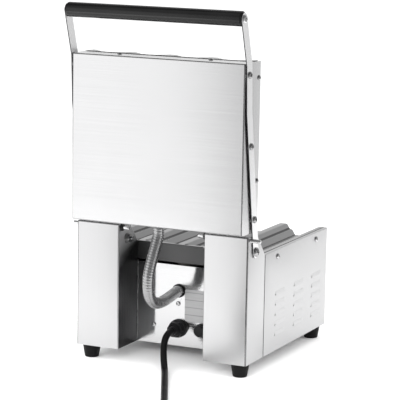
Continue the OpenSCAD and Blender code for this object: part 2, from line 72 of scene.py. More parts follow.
# ------------------------------------------------------------------ camera
cam_data = bpy.data.cameras.new("camera")
cam_data.lens = 179.43
cam_data.sensor_width = 36.0
cam_data.clip_start, cam_data.clip_end = 0.05, 60.0
cam = bpy.data.objects.new("camera", cam_data)
scene.collection.objects.link(cam)
eye = P(-1160.54, 2337.60, 691.04)
cr = Vector((-0.90285, -0.42964, 0.01652)).normalized()
cf = Vector((0.42059, -0.89051, -0.17350)).normalized()
cu = cr.cross(cf).normalized()
cr = cf.cross(cu).normalized()
cam.matrix_world = Matrix(((cr.x, cu.x, -cf.x, eye.x), (cr.y, cu.y, -cf.y, eye.y), (cr.z, cu.z, -cf.z, eye.z), (0, 0, 0, 1)))
scene.camera = cam
scene.view_settings.view_transform = "Standard"
scene.view_settings.look = "None"


# ------------------------------------------------------------------ material helpers
def new_mat(name):
    m = bpy.data.materials.new(name)
    m.use_nodes = True
    nt = m.node_tree
    return m, nt, nt.nodes["Principled BSDF"]


def noise(nt, scale_xyz, scale=1.0, detail=4.0, rough=0.55, rot=(0, 0, 0)):
    co = nt.nodes.new("ShaderNodeTexCoord")
    mp = nt.nodes.new("ShaderNodeMapping")
    mp.inputs["Scale"].default_value = scale_xyz
    mp.inputs["Rotation"].default_value = rot
    n = nt.nodes.new("ShaderNodeTexNoise")
    n.inputs["Scale"].default_value = scale
    n.inputs["Detail"].default_value = detail
    n.inputs["Roughness"].default_value = rough
    nt.links.new(co.outputs["Object"], mp.inputs["Vector"])
    nt.links.new(mp.outputs["Vector"], n.inputs["Vector"])
    return n


def span(nt, out, lo, hi, a=0.3, b=0.7):
    r = nt.nodes.new("ShaderNodeMapRange")
    r.inputs["From Min"].default_value = a
    r.inputs["From Max"].default_value = b
    r.inputs["To Min"].default_value = lo
    r.inputs["To Max"].default_value = hi
    nt.links.new(out, r.inputs["Value"])
    return r.outputs["Result"]


def ramp(nt, out, c0, c1, a=0.3, b=0.7):
    r = nt.nodes.new("ShaderNodeValToRGB")
    r.color_ramp.elements[0].position = a
    r.color_ramp.elements[1].position = b
    r.color_ramp.elements[0].color = (*c0, 1)
    r.color_ramp.elements[1].color = (*c1, 1)
    nt.links.new(out, r.inputs["Fac"])
    return r.outputs["Color"]


def add_bump(nt, bsdf, height, strength, distance):
    b = nt.nodes.new("ShaderNodeBump")
    b.inputs["Strength"].default_value = strength
    b.inputs["Distance"].default_value = distance
    nt.links.new(height, b.inputs["Height"])
    nt.links.new(b.outputs["Normal"], bsdf.inputs["Normal"])
    return b


def math_node(nt, op, a, b=None):
    m = nt.nodes.new("ShaderNodeMath")
    m.operation = op
    for i, v in enumerate((a, b)):
        if v is None:
            continue
        if isinstance(v, (int, float)):
            m.inputs[i].default_value = v
        else:
            nt.links.new(v, m.inputs[i])
    return m.outputs[0]


def steel(name, grain, dark=(0.496, 0.496, 0.5), light=(0.512, 0.512, 0.516), r0=0.21, r1=0.25, bump=0.02):
    """Brushed stainless sheet: hair-fine lines along one axis, with broad soft smudges in the gloss."""
    m, nt, b = new_mat(name)
    b.inputs["Metallic"].default_value = 1.0
    sc = {"x": (5, 1500, 1500), "y": (1500, 5, 1500), "z": (1500, 1500, 5)}[grain]
    fine = noise(nt, sc, 1.0, 5.0, 0.6)
    broad = noise(nt, (7, 7, 7), 1.0, 3.0, 0.5)
    both = math_node(nt, "ADD", math_node(nt, "MULTIPLY", fine.outputs["Fac"], 0.6), math_node(nt, "MULTIPLY", broad.outputs["Fac"], 0.4))
    nt.links.new(ramp(nt, both, dark, light, 0.36, 0.64), b.inputs["Base Color"])
    nt.links.new(span(nt, both, r0, r1, 0.36, 0.64), b.inputs["Roughness"])
    add_bump(nt, b, fine.outputs["Fac"], bump, 0.00012)
    return m


def plain_metal(name, dark, light, r0, r1, scale=220, bump=0.1, metallic=1.0, dist=0.0001):
    m, nt, b = new_mat(name)
    b.inputs["Metallic"].default_value = metallic
    n = noise(nt, (1, 1, 1), scale, 5.0, 0.6)
    nt.links.new(ramp(nt, n.outputs["Fac"], dark, light, 0.35, 0.65), b.inputs["Base Color"])
    nt.links.new(span(nt, n.outputs["Fac"], r0, r1, 0.35, 0.65), b.inputs["Roughness"])
    add_bump(nt, b, n.outputs["Fac"], bump, dist)
    return m


def plastic(name, dark, light, r0, r1, scale=900, bump=0.12, dist=0.00015, spec=0.5, coat=0.0):
    m, nt, b = new_mat(name)
    b.inputs["Specular IOR Level"].default_value = spec
    if coat:
        b.inputs["Coat Weight"].default_value = coat
        b.inputs["Coat Roughness"].default_value = 0.12
    n = noise(nt, (1, 1, 1), scale, 4.0, 0.6)
    w = noise(nt, (1, 1, 1), 25, 3.0, 0.5)
    nt.links.new(ramp(nt, w.outputs["Fac"], dark, light, 0.35, 0.65), b.inputs["Base Color"])
    nt.links.new(span(nt, w.outputs["Fac"], r0, r1, 0.35, 0.65), b.inputs["Roughness"])
    add_bump(nt, b, n.outputs["Fac"], bump, dist)
    return m


def arm_steel(name):
    """Flat bar: brushed broad faces, and rough edges painted near-black as painted shade."""
    m, nt, b = new_mat(name)
    b.inputs["Metallic"].default_value = 1.0
    fine = noise(nt, (1500, 1500, 5), 1.0, 5.0, 0.6)
    broad = noise(nt, (9, 9, 9), 1.0, 3.0, 0.5)
    both = math_node(nt, "ADD", math_node(nt, "MULTIPLY", fine.outputs["Fac"], 0.6), math_node(nt, "MULTIPLY", broad.outputs["Fac"], 0.4))
    face = ramp(nt, both, (0.68, 0.68, 0.684), (0.72, 0.72, 0.724), 0.36, 0.64)
    rough = span(nt, both, 0.24, 0.36, 0.36, 0.64)
    geo = nt.nodes.new("ShaderNodeNewGeometry")
    sep = nt.nodes.new("ShaderNodeSeparateXYZ")
    nt.links.new(geo.outputs["Normal"], sep.inputs["Vector"])
    side = span(nt, math_node(nt, "ABSOLUTE", sep.outputs["X"]), 1.0, 0.0, 0.35, 0.8)
    # the narrow edges' near-black base colour is painted shade
    edge_noise = noise(nt, (900, 60, 60), 1.0, 3.0, 0.6)
    edge = ramp(nt, edge_noise.outputs["Fac"], (0.02, 0.02, 0.021), (0.05, 0.05, 0.051), 0.35, 0.65)
    mix = nt.nodes.new("ShaderNodeMix")
    mix.data_type = "RGBA"
    nt.links.new(side, mix.inputs["Factor"])
    nt.links.new(face, mix.inputs["A"])
    nt.links.new(edge, mix.inputs["B"])
    nt.links.new(mix.outputs["Result"], b.inputs["Base Color"])
    mr = nt.nodes.new("ShaderNodeMix")
    nt.links.new(side, mr.inputs["Factor"])
    nt.links.new(rough, mr.inputs["A"])
    nt.links.new(span(nt, edge_noise.outputs["Fac"], 0.42, 0.6), mr.inputs["B"])
    nt.links.new(mr.outputs["Result"], b.inputs["Roughness"])
    add_bump(nt, b, fine.outputs["Fac"], 0.035, 0.00012)
    return m


def cast_metal(name, tone0=(0.23, 0.23, 0.232), tone1=(0.27, 0.27, 0.272), r0=0.24, r1=0.32, grit=0.12):
    """Coated cast plate: sandy skin, a little cloudy."""
    m, nt, b = new_mat(name)
    b.inputs["Metallic"].default_value = 1.0
    sand = noise(nt, (1, 1, 1), 900, 6.0, 0.65)
    cloud = noise(nt, (1, 1, 1), 22, 4.0, 0.55)
    nt.links.new(ramp(nt, cloud.outputs["Fac"], tone0, tone1), b.inputs["Base Color"])
    nt.links.new(span(nt, cloud.outputs["Fac"], r0, r1), b.inputs["Roughness"])
    add_bump(nt, b, sand.outputs["Fac"], grit, 0.0002)
    return m


def label_mat(name, z0):
    """Blank plate: satin silver film with faint ruled lines."""
    m, nt, b = new_mat(name)
    b.inputs["Metallic"].default_value = 0.35
    co = nt.nodes.new("ShaderNodeTexCoord")
    sep = nt.nodes.new("ShaderNodeSeparateXYZ")
    nt.links.new(co.outputs["Object"], sep.inputs["Vector"])
    f = math_node(nt, "FRACT", math_node(nt, "DIVIDE", math_node(nt, "SUBTRACT", sep.outputs["Z"], z0), 0.0104))
    line = math_node(nt, "LESS_THAN", math_node(nt, "ABSOLUTE", math_node(nt, "SUBTRACT", f, 0.5)), 0.055)
    n = noise(nt, (40, 40, 400), 1.0, 4.0, 0.6)
    paper = ramp(nt, n.outputs["Fac"], (0.33, 0.33, 0.333), (0.37, 0.37, 0.373))
    mix = nt.nodes.new("ShaderNodeMix")
    mix.data_type = "RGBA"
    nt.links.new(line, mix.inputs["Factor"])
    nt.links.new(paper, mix.inputs["A"])
    nt.links.new(ramp(nt, n.outputs["Fac"], (0.22, 0.22, 0.223), (0.25, 0.25, 0.253)), mix.inputs["B"])
    nt.links.new(mix.outputs["Result"], b.inputs["Base Color"])
    nt.links.new(span(nt, n.outputs["Fac"], 0.38, 0.5), b.inputs["Roughness"])
    add_bump(nt, b, n.outputs["Fac"], 0.05, 0.0001)
    return m


def glass_lens(name, dark, light):
    m, nt, b = new_mat(name)
    b.inputs["Transmission Weight"].default_value = 0.35
    b.inputs["IOR"].default_value = 1.49
    b.inputs["Coat Weight"].default_value = 0.6
    n = noise(nt, (1, 1, 1), 160, 3.0, 0.5)
    nt.links.new(ramp(nt, n.outputs["Fac"], dark, light), b.inputs["Base Color"])
    nt.links.new(span(nt, n.outputs["Fac"], 0.08, 0.2), b.inputs["Roughness"])
    add_bump(nt, b, n.outputs["Fac"], 0.2, 0.0003)
    return m


M_LID = steel("steel_lid", "x", (0.484, 0.484, 0.488), (0.532, 0.532, 0.536))
M_PILLAR = steel("steel_pillar", "z", r0=0.29, r1=0.33, bump=0.006)
M_LIDSIDE = steel("steel_lid_side", "z", (0.52, 0.52, 0.524), (0.536, 0.536, 0.54), r0=0.22, r1=0.27)
M_SIDE = steel("steel_side", "y", (0.482, 0.482, 0.486), (0.494, 0.494, 0.498), r0=0.285, r1=0.3, bump=0.003)
# the pressed louvres get a lighter copy of the side-panel steel: painted light
M_LOUVRE = steel("steel_louvre_painted_light", "y", (0.53, 0.53, 0.534), (0.545, 0.545, 0.549), r0=0.34, r1=0.38, bump=0.003)
# the front panel gets a darker copy of the sheet steel: painted shade against the strong light on the front
M_FRONT = steel("steel_front_painted_shade", "x", (0.43, 0.43, 0.434), (0.446, 0.446, 0.45))
M_BACK = steel("steel_back_bright", "x", (0.49, 0.49, 0.494), (0.52, 0.52, 0.524), 0.06, 0.09, 0.5)
M_TRAY = steel("steel_tray", "x", r0=0.25, r1=0.36)
M_PLAIN = steel("steel_plain", "y", (0.42, 0.42, 0.424), (0.47, 0.47, 0.474), 0.3, 0.42)
M_ARM = arm_steel("steel_arm_painted_edge_shade")
M_HARD = plain_metal("bright_hardware", (0.5, 0.5, 0.505), (0.6, 0.6, 0.605), 0.16, 0.26)
M_PIN = plain_metal("ground_pin", (0.5, 0.5, 0.505), (0.58, 0.58, 0.585), 0.12, 0.2)
# a darker copy of the bright hardware, for the arm and lid screws: painted shade
M_SCREW = plain_metal("dark_screw", (0.26, 0.26, 0.263), (0.36, 0.36, 0.363), 0.14, 0.22)
M_BOLT = plain_metal("dark_bolt", (0.3, 0.3, 0.303), (0.42, 0.42, 0.423), 0.12, 0.2)
M_NUT = plain_metal("zinc_nut", (0.20, 0.20, 0.205), (0.34, 0.34, 0.335), 0.28, 0.42)


def hose_metal(name):
    """Wound zinc-coated strip: a darker base along the bend up to the lid, and a far lighter base on the lower run back
    to the panel, which is painted light.
    """
    m, nt, b = new_mat(name)
    b.inputs["Metallic"].default_value = 0.9
    n = noise(nt, (1, 1, 1), 120, 5.0, 0.6)
    co = nt.nodes.new("ShaderNodeTexCoord")
    sep = nt.nodes.new("ShaderNodeSeparateXYZ")
    nt.links.new(co.outputs["Object"], sep.inputs["Vector"])
    # painted light: the lower run near the panel gets the far lighter base colour
    painted_lit = span(nt, sep.outputs["Y"], 1.0, 0.0, 0.112, 0.146)
    mix = nt.nodes.new("ShaderNodeMix")
    mix.data_type = "RGBA"
    nt.links.new(painted_lit, mix.inputs["Factor"])
    nt.links.new(ramp(nt, n.outputs["Fac"], (0.27, 0.27, 0.273), (0.31, 0.31, 0.313), 0.35, 0.65), mix.inputs["A"])
    nt.links.new(ramp(nt, n.outputs["Fac"], (0.7, 0.7, 0.704), (0.76, 0.76, 0.764), 0.35, 0.65), mix.inputs["B"])
    nt.links.new(mix.outputs["Result"], b.inputs["Base Color"])
    nt.links.new(span(nt, n.outputs["Fac"], 0.22, 0.28, 0.35, 0.65), b.inputs["Roughness"])
    add_bump(nt, b, n.outputs["Fac"], 0.02, 0.0001)
    return m


M_HOSE_PAINTED_LIGHT = hose_metal("conduit_steel_painted_light")
M_CAST = cast_metal("cast_plate")
M_FLUTE = cast_metal("cast_flute", (0.25, 0.25, 0.252), (0.28, 0.28, 0.282), 0.26, 0.34, 0.14)
# dark cast skin: a real darker skin on the end faces and beam, painted shade on the undersides, step walls and hollow
# corners
M_CASTSKIN_AND_SHADE = cast_metal("cast_skin_and_painted_shade", (0.085, 0.085, 0.086), (0.11, 0.11, 0.111), 0.4, 0.52, 0.3)
M_SHEATH = plain_metal("heater_sheath", (0.16, 0.15, 0.14), (0.26, 0.25, 0.24), 0.4, 0.55)
M_CLAMP = plain_metal("clamp_sheet", (0.42, 0.42, 0.42), (0.52, 0.52, 0.52), 0.35, 0.5)
M_WOOL = plastic("ceramic_wool", (0.62, 0.58, 0.46), (0.75, 0.71, 0.60), 0.85, 0.95, 500, 0.9, 0.0012, 0.2)
M_CERAM = plastic("ceramic", (0.62, 0.60, 0.55), (0.72, 0.70, 0.65), 0.35, 0.5, 400, 0.15)
M_COPPER = plain_metal("copper", (0.70, 0.32, 0.20), (0.80, 0.42, 0.28), 0.25, 0.4)
M_BLACK = plastic("black_plastic", (0.004, 0.004, 0.0042), (0.008, 0.008, 0.0083), 0.26, 0.38, spec=0.2)
M_GRIP = plastic("grip_plastic", (0.003, 0.003, 0.0031), (0.005, 0.005, 0.0052), 0.18, 0.24, 1200, 0.05, 0.0001, 0.25)
M_WHITE = plastic("white_inlay", (0.78, 0.78, 0.77), (0.86, 0.86, 0.85), 0.35, 0.45)
M_RED = plastic("red_rocker", (0.30, 0.014, 0.012), (0.40, 0.022, 0.018), 0.28, 0.38)
M_RUBBER = plastic("foot_rubber", (0.004, 0.004, 0.0042), (0.007, 0.007, 0.0072), 0.45, 0.6, 700, 0.2, spec=0.1)
M_CORD = plastic("cord_jacket", (0.004, 0.004, 0.0042), (0.007, 0.007, 0.0072), 0.36, 0.48, 500, 0.12, spec=0.14)
M_PLUG = plastic("plug_moulding", (0.010, 0.010, 0.0105), (0.020, 0.020, 0.0205), 0.38, 0.5, 800, 0.2)
M_TIE = plastic("tie_band", (0.014, 0.014, 0.0145), (0.028, 0.028, 0.0285), 0.4, 0.55, 700, 0.2)
M_GREEN = glass_lens("green_lens", (0.02, 0.22, 0.04), (0.05, 0.34, 0.08))
M_AMBER = glass_lens("amber_lens", (0.55, 0.20, 0.01), (0.75, 0.32, 0.03))
M_LABEL = label_mat("blank_plate", 0.0588)


# ------------------------------------------------------------------ mesh helpers
def mesh_obj(name, verts, faces, mat, angle=35.0):
    me = bpy.data.meshes.new(name)
    me.from_pydata([tuple(v) for v in verts], [], faces)
    bm = bmesh.new()
    bm.from_mesh(me)
    bmesh.ops.recalc_face_normals(bm, faces=bm.faces)
    bm.to_mesh(me)
    bm.free()
    me.materials.append(mat)
    for p in me.polygons:
        p.use_smooth = True
    me.set_sharp_from_angle(angle=math.radians(angle))
    o = bpy.data.objects.new(name, me)
    scene.collection.objects.link(o)
    return o


def loft(rings, closed_start=True, closed_end=True):
    """Verts and faces of a skin over rings that all have the same number of points."""
    n = len(rings[0])
    verts = [p for r in rings for p in r]
    faces = [
        (i * n + k, i * n + (k + 1) % n, (i + 1) * n + (k + 1) % n, (i + 1) * n + k)
        for i in range(len(rings) - 1)
        for k in range(n)
    ]
    if closed_start:
        faces.append(tuple(range(n - 1, -1, -1)))
    if closed_end:
        faces.append(tuple((len(rings) - 1) * n + k for k in range(n)))
    return verts, faces


def shown(o):
    """The object's mesh as its modifiers leave it."""
    bpy.context.view_layer.update()
    dg = bpy.context.evaluated_depsgraph_get()
    return bpy.data.meshes.new_from_object(o.evaluated_get(dg))


def settle(o, angle=35.0):
    """Applies the object's modifiers."""
    me = shown(o)
    o.modifiers.clear()
    o.data = me
    for p in me.polygons:
        p.use_smooth = True
    me.set_sharp_from_angle(angle=math.radians(angle))
    return o


def cut(o, cutter, op="DIFFERENCE"):
    m = o.modifiers.new("cut", "BOOLEAN")
    m.operation = op
    m.object = cutter
    m.solver = "EXACT"
    settle(o)
    bpy.data.objects.remove(cutter)
    return o


def soften(o, width, segments=2, angle=40.0):
    m = o.modifiers.new("edge", "BEVEL")
    m.width = width / 1000.0
    m.segments = segments
    m.limit_method = "ANGLE"
    m.angle_limit = math.radians(angle)
    m.use_clamp_overlap = False
    return o


def bez(a, b, c, d, t):
    return tuple((1 - t) ** 3 * a[i] + 3 * t * (1 - t) ** 2 * b[i] + 3 * t * t * (1 - t) * c[i] + t ** 3 * d[i] for i in range(3))


def resample(pts, step):
    pts = [Vector(p) for p in pts]
    acc = [0.0]
    for a, b in zip(pts, pts[1:]):
        acc.append(acc[-1] + (b - a).length)
    n = max(2, int(round(acc[-1] / step)))
    out, j = [], 0
    for i in range(n + 1):
        s = acc[-1] * i / n
        while j < len(acc) - 2 and acc[j + 1] < s:
            j += 1
        f = (s - acc[j]) / max(1e-9, acc[j + 1] - acc[j])
        out.append(pts[j].lerp(pts[j + 1], f))
    return out, acc[-1]


# ------------------------------------------------------------------ mains lead
CORD_D = 9.2
FLOOR_C = 4.7
cord_a = [(0, -34, 43.5), (0, 0, 43.5), (-9, 2, FLOOR_C), (-24, 32, FLOOR_C)]
cord_b = [(-24, 32, FLOOR_C), (-44, 72, FLOOR_C), (-119, 226, FLOOR_C), (-145, 278, FLOOR_C)]
COIL = (-92.0, 305.0)


def ease(t, a, b):
    x = min(1.0, max(0.0, (t - a) / (b - a)))
    return x * x * (3 - 2 * x)


route = [(0, -40, 43.5), (0, -37, 43.5)]
route += [bez(*cord_a, i / 24) for i in range(24)]
route += [bez(*cord_b, i / 40) for i in range(40)]
TURNS = 3.325
for i in range(int(TURNS * 72) + 1):
    t = TURNS * i / int(TURNS * 72)
    a = math.radians(207.0 - 360.0 * t)
    rad = 59.6 - 9.3 * ease(t, 0.77, 1.0) + 9.3 * ease(t, 2.33, 2.55)
    z = FLOOR_C + 9.25 * ease(t, 1.53, 1.79)
    route.append((COIL[0] + rad * math.cos(a), COIL[1] + rad * math.sin(a), z))
last = route[-1]
for x in (-86, -78, -70, -62, -52):
    route.append((x, COIL[1] + 59.7, 14.0))
line, cord_len = resample(route, 3.0)
cu_data = bpy.data.curves.new("mains_lead", "CURVE")
cu_data.dimensions = "3D"
cu_data.bevel_depth = CORD_D / 2000.0
cu_data.bevel_resolution = 5
cu_data.use_fill_caps = True
sp = cu_data.splines.new("POLY")
sp.points.add(len(line) - 1)
for i, p in enumerate(line):
    sp.points[i].co = (*P(*p), 1.0)
sp.use_smooth = True
cu_data.materials.append(M_CORD)
lead = bpy.data.objects.new("mains_lead", cu_data)
scene.collection.objects.link(lead)
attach(lead, "base")
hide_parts("power_cord", "cord_coil")

# plug: ribbed strain relief running into a moulded body
PL = (-66.0, COIL[1] + 59.7, 14.0)


def plug_ring(s, ry, rz, e, n=40):
    out = []
    for k in range(n):
        a = 2 * math.pi * k / n
        c, q = math.cos(a), math.sin(a)
        out.append(P(PL[0] + s, PL[1] + ry * math.copysign(abs(c) ** (2 / e), c), PL[2] + rz * math.copysign(abs(q) ** (2 / e), q)))
    return out


rings = [plug_ring(0.0, 4.3, 4.3, 2), plug_ring(0.0, 5.3, 5.3, 2), plug_ring(0.4, 5.6, 5.6, 2)]
for i in range(1, 49):
    s = 0.4 + i * 0.6
    base = 5.6 + 1.6 * s / 30.0
    rib = 0.55 * max(0.0, math.sin(2 * math.pi * s / 5.0)) if 2.0 < s < 28.5 else 0.0
    rings.append(plug_ring(s, base - rib, base - rib, 2))
for s, ry, rz, e in ((30, 7.3, 7.3, 2.0), (31.5, 8.4, 8.2, 2.1), (33.5, 10.0, 9.4, 2.3), (36.5, 11.4, 10.6, 2.5), (41, 12.5, 11.9, 2.7), (46, 13.2, 12.9, 2.9), (48.0, 13.4, 13.2, 3.0)):
    rings.append(plug_ring(s, ry, rz, e))
for i in range(4):
    s = 49.5 + i * 3.4
    rings += [plug_ring(s, 13.5, 13.3, 3.0), plug_ring(s + 0.5, 12.9, 12.8, 3.0), plug_ring(s + 1.6, 12.9, 12.8, 3.0), plug_ring(s + 2.1, 13.5, 13.3, 3.0)]
for s, k in ((64.5, 1.0), (68.0, 1.0), (69.3, 0.985), (70.0, 0.94)):
    rings.append(plug_ring(s, 13.5 * k, 13.3 * k, 3.0))
rings.append(plug_ring(70.0, 1.0, 1.0, 2.0))
v, f = loft(rings)
plug = mesh_obj("plug_moulding", v, f, M_PLUG, 42)
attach(plug, "base")
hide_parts("plug_body")

# band round the coil
tie_rings = []
tie_a = math.radians(-28.0)
for w, lift in ((-3.2, -0.35), (-2.9, 0.0), (2.9, 0.0), (3.2, -0.35)):
    pts = []
    hw_, hh_, rc = 9.9 + lift, 9.62 + lift, 4.2
    for q in range(4):
        cx_, cz_ = (hw_ - rc) * (1, -1, -1, 1)[q], (hh_ - rc) * (1, 1, -1, -1)[q]
        for i in range(7):
            a = math.radians(90 * q + 15 * i)
            pts.append((cx_ + rc * math.cos(a), cz_ + rc * math.sin(a)))
    ring = []
    for u_, z_ in pts:
        rr = 55.0 + u_
        ring.append(P(COIL[0] + rr * math.cos(tie_a) - w * math.sin(tie_a), COIL[1] + rr * math.sin(tie_a) + w * math.cos(tie_a), 9.64 + z_))
    tie_rings.append(ring)
inner = []
for w in (3.2, -3.2):
    pts = []
    hw_, hh_, rc = 8.6, 8.7, 3.4
    for q in range(4):
        cx_, cz_ = (hw_ - rc) * (1, -1, -1, 1)[q], (hh_ - rc) * (1, 1, -1, -1)[q]
        for i in range(7):
            a = math.radians(90 * q + 15 * i)
            pts.append((cx_ + rc * math.cos(a), cz_ + rc * math.sin(a)))
    inner.append([P(COIL[0] + (55.0 + u_) * math.cos(tie_a) - w * math.sin(tie_a), COIL[1] + (55.0 + u_) * math.sin(tie_a) + w * math.cos(tie_a), 9.64 + z_) for u_, z_ in pts])
tr = tie_rings + inner + [tie_rings[0]]
v, f = loft(tr[:-1], False, False)
nn = len(tr[0])
f += [((len(tr) - 2) * nn + k, (len(tr) - 2) * nn + (k + 1) % nn, (k + 1) % nn, k) for k in range(nn)]
tie = mesh_obj("coil_tie", v, f, M_TIE, 40)
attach(tie, "base")

# ------------------------------------------------------------------ conduit from the back panel to the lid
HOSE_R = 7.8
hose_a = [(0, -53, 96), (0, -33, 96), (8, 26, 67), (5, 26.5, 128)]
hose_b = [(5, 26.5, 128), (4.2, 26.6, 145), (0, 7.5, 179), (0, 7.5, 186)]
hr = [(0, -57, 96)] + [bez(*hose_a, i / 40) for i in range(40)] + [bez(*hose_b, i / 24) for i in range(24)] + [(0, 7.5, 186), (0, 7.5, 195.5)]
hl, hose_len = resample(hr, 0.4)
PITCH = 3.5
SEG = 30
rings = []
up = Vector((1, 0, 0))
for i, p in enumerate(hl):
    t = (hl[min(i + 1, len(hl) - 1)] - hl[max(i - 1, 0)]).normalized()
    e1 = t.cross(up).normalized()
    e2 = t.cross(e1)
    s = hose_len * i / (len(hl) - 1)
    ring = []
    for k in range(SEG):
        a = 2 * math.pi * k / SEG
        ph = (s / PITCH + k / SEG) % 1.0
        # interlocked strip: a rounded band with a narrow seam
        r = HOSE_R - 0.22 * (0.5 - 0.5 * math.cos(2 * math.pi * ph)) ** 2
        ring.append(P(*(p + e1 * (r * math.cos(a)) + e2 * (r * math.sin(a)))))
    rings.append(ring)
v, f = loft(rings)
hose = mesh_obj("conduit", v, f, M_HOSE_PAINTED_LIGHT, 60)
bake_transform(hose)
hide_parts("hose")

# ------------------------------------------------------------------ floor, light
bm = bmesh.new()
bmesh.ops.create_circle(bm, cap_ends=True, segments=128, radius=1.25, matrix=Matrix.Translation(P(400, -720, -0.3)))
me = bpy.data.meshes.new("floor")
bm.to_mesh(me)
bm.free()
floor = bpy.data.objects.new("floor", me)
scene.collection.objects.link(floor)
m, nt, b = new_mat("floor_white")
n = noise(nt, (1, 1, 1), 3.0, 2.0, 0.5)
nt.links.new(ramp(nt, n.outputs["Fac"], (0.93, 0.93, 0.93), (0.95, 0.95, 0.95)), b.inputs["Base Color"])
b.inputs["Roughness"].default_value = 0.9
b.inputs["Specular IOR Level"].default_value = 0.1
me.materials.append(m)

# A bright studio with an unlit side, and a dim ceiling that the bends of the sheet pick up.
world = bpy.data.worlds.new("studio")
scene.world = world
world.use_nodes = True
wt = world.node_tree
bg = wt.nodes["Background"]
co = wt.nodes.new("ShaderNodeTexCoord")
sep = wt.nodes.new("ShaderNodeSeparateXYZ")
wt.links.new(co.outputs["Generated"], sep.inputs["Vector"])
az = math_node(wt, "ARCTAN2", sep.outputs["X"], sep.outputs["Y"])
ring_pos = math_node(wt, "DIVIDE", math_node(wt, "ADD", az, math.pi), 2 * math.pi)
cr_node = wt.nodes.new("ShaderNodeValToRGB")
cr_node.color_ramp.interpolation = "EASE"
# degrees from straight behind the object, towards +X, and the light from there
STUDIO = [(-180, 0.64), (-150, 0.56), (-128, 0.16), (-98, 0.16), (-88, 0.8), (-78, 0.8), (-68, 0.16), (-52, 0.16), (-40, 0.2), (-14, 0.2), (-3.5, 0.2), (26.5, 1.0), (56, 1.0), (74, 0.14), (124, 0.14), (144, 0.6), (180, 0.64)]
while len(cr_node.color_ramp.elements) < len(STUDIO):
    cr_node.color_ramp.elements.new(0.5)
for el, (deg, lev) in zip(cr_node.color_ramp.elements, STUDIO):
    el.position = (deg + 180) / 360.0
for el, (deg, lev) in zip(cr_node.color_ramp.elements, STUDIO):
    el.color = (lev, lev, lev, 1)
wt.links.new(ring_pos, cr_node.inputs["Fac"])


def smooth(tree, out, lo, hi, a, b):
    r = tree.nodes.new("ShaderNodeMapRange")
    r.interpolation_type = "SMOOTHSTEP"
    r.inputs["From Min"].default_value = a
    r.inputs["From Max"].default_value = b
    r.inputs["To Min"].default_value = lo
    r.inputs["To Max"].default_value = hi
    tree.links.new(out, r.inputs["Value"])
    return r.outputs["Result"]


around = math_node(wt, "MULTIPLY", cr_node.outputs["Color"], 1.8)
ceiling = smooth(wt, sep.outputs["Z"], 1.0, 0.4, 0.22, 0.52)
glow = math_node(wt, "MULTIPLY", smooth(wt, sep.outputs["Z"], 0.0, 1.3, -0.36, -0.44), smooth(wt, sep.outputs["Z"], 0.0, 1.0, -0.66, -0.52))
beyond = math_node(wt, "MULTIPLY", smooth(wt, sep.outputs["Y"], 0.0, 0.4, 0.1, -0.5), smooth(wt, sep.outputs["Z"], 0.0, 1.0, 0.3, 0.6))
room = math_node(wt, "MULTIPLY", around, math_node(wt, "ADD", math_node(wt, "ADD", ceiling, glow), beyond))
lp = wt.nodes.new("ShaderNodeLightPath")
mx = wt.nodes.new("ShaderNodeMix")
wt.links.new(lp.outputs["Is Camera Ray"], mx.inputs["Factor"])
wt.links.new(room, mx.inputs["A"])
mx.inputs["B"].default_value = 1.2
wt.links.new(mx.outputs["Result"], bg.inputs["Strength"])
bg.inputs["Color"].default_value = (1, 1, 1, 1)


def softbox(name, loc, target, size, energy, mirrored=False):
    d = bpy.data.lights.new(name, "AREA")
    d.shape = "RECTANGLE"
    d.size, d.size_y = size
    d.energy = energy
    o = bpy.data.objects.new(name, d)
    o.location = P(*loc)
    o.rotation_euler = (P(*target) - P(*loc)).to_track_quat("-Z", "Y").to_euler()
    o.visible_glossy = mirrored
    scene.collection.objects.link(o)
    return o


sun = bpy.data.lights.new("daylight", "SUN")
sun.energy = 2.75
sun.angle = math.radians(110)
sun_o = bpy.data.objects.new("daylight", sun)
sun_o.rotation_euler = (math.radians(-12), math.radians(6), 0)
sun_o.visible_glossy = False
scene.collection.objects.link(sun_o)
softbox("fill_rear", (-400, 1350, 700), (0, 0, 0), (2.0, 0.5), 26.0)
softbox("fill_left", (1450, 0, 750), (0, -100, 0), (2.0, 0.7), 11.0)
softbox("fill_right", (-1450, -200, 750), (0, -100, 0), (2.0, 0.7), 10.0)

# ------------------------------------------------------------------ bent sheet pieces
HW, PX0, SH = 127.0, 63.5, 1.2
FOOT_H, PANEL_TOP, PILLAR_TOP, PILLAR_D, BODY_D = 18.5, 159.5, 191.5, 57.0, 280.0
LID_HW, LID_Z0, LID_Z1, LID_Y = 125.9, 196.0, 421.0, 18.5


def solid_box(a, b):
    (x0, y0, z0), (x1, y1, z1) = a, b
    v = [P(x, y, z) for x in (x0, x1) for y in (y0, y1) for z in (z0, z1)]
    return mesh_obj("block", v, [(0, 1, 3, 2), (4, 6, 7, 5), (0, 4, 5, 1), (2, 3, 7, 6), (0, 2, 6, 4), (1, 5, 7, 3)], M_PLAIN)


def boxes(items):
    v, f = [], []
    for (x0, y0, z0), (x1, y1, z1) in items:
        k = len(v)
        v += [P(x, y, z) for x in (x0, x1) for y in (y0, y1) for z in (z0, z1)]
        f += [tuple(k + i for i in q) for q in ((0, 1, 3, 2), (4, 6, 7, 5), (0, 4, 5, 1), (2, 3, 7, 6), (0, 2, 6, 4), (1, 5, 7, 3))]
    return mesh_obj("blocks", v, f, M_PLAIN)


def solid_yz(outline, x0, x1):
    v, f = loft([[P(x0, y, z) for y, z in outline], [P(x1, y, z) for y, z in outline]])
    return mesh_obj("block", v, f, M_PLAIN)


def rod(a, b, r, n=48):
    a, b = Vector(a), Vector(b)
    t = (b - a).normalized()
    e1 = t.orthogonal().normalized()
    e2 = t.cross(e1)
    v, f = loft([[P(*(c + e1 * (r * math.cos(2 * math.pi * k / n)) + e2 * (r * math.sin(2 * math.pi * k / n)))) for k in range(n)] for c in (a, b)])
    return mesh_obj("block", v, f, M_PLAIN)


def mm(v):
    return Vector((v.x * 1000.0, v.y * 1000.0 - RY, v.z * 1000.0))


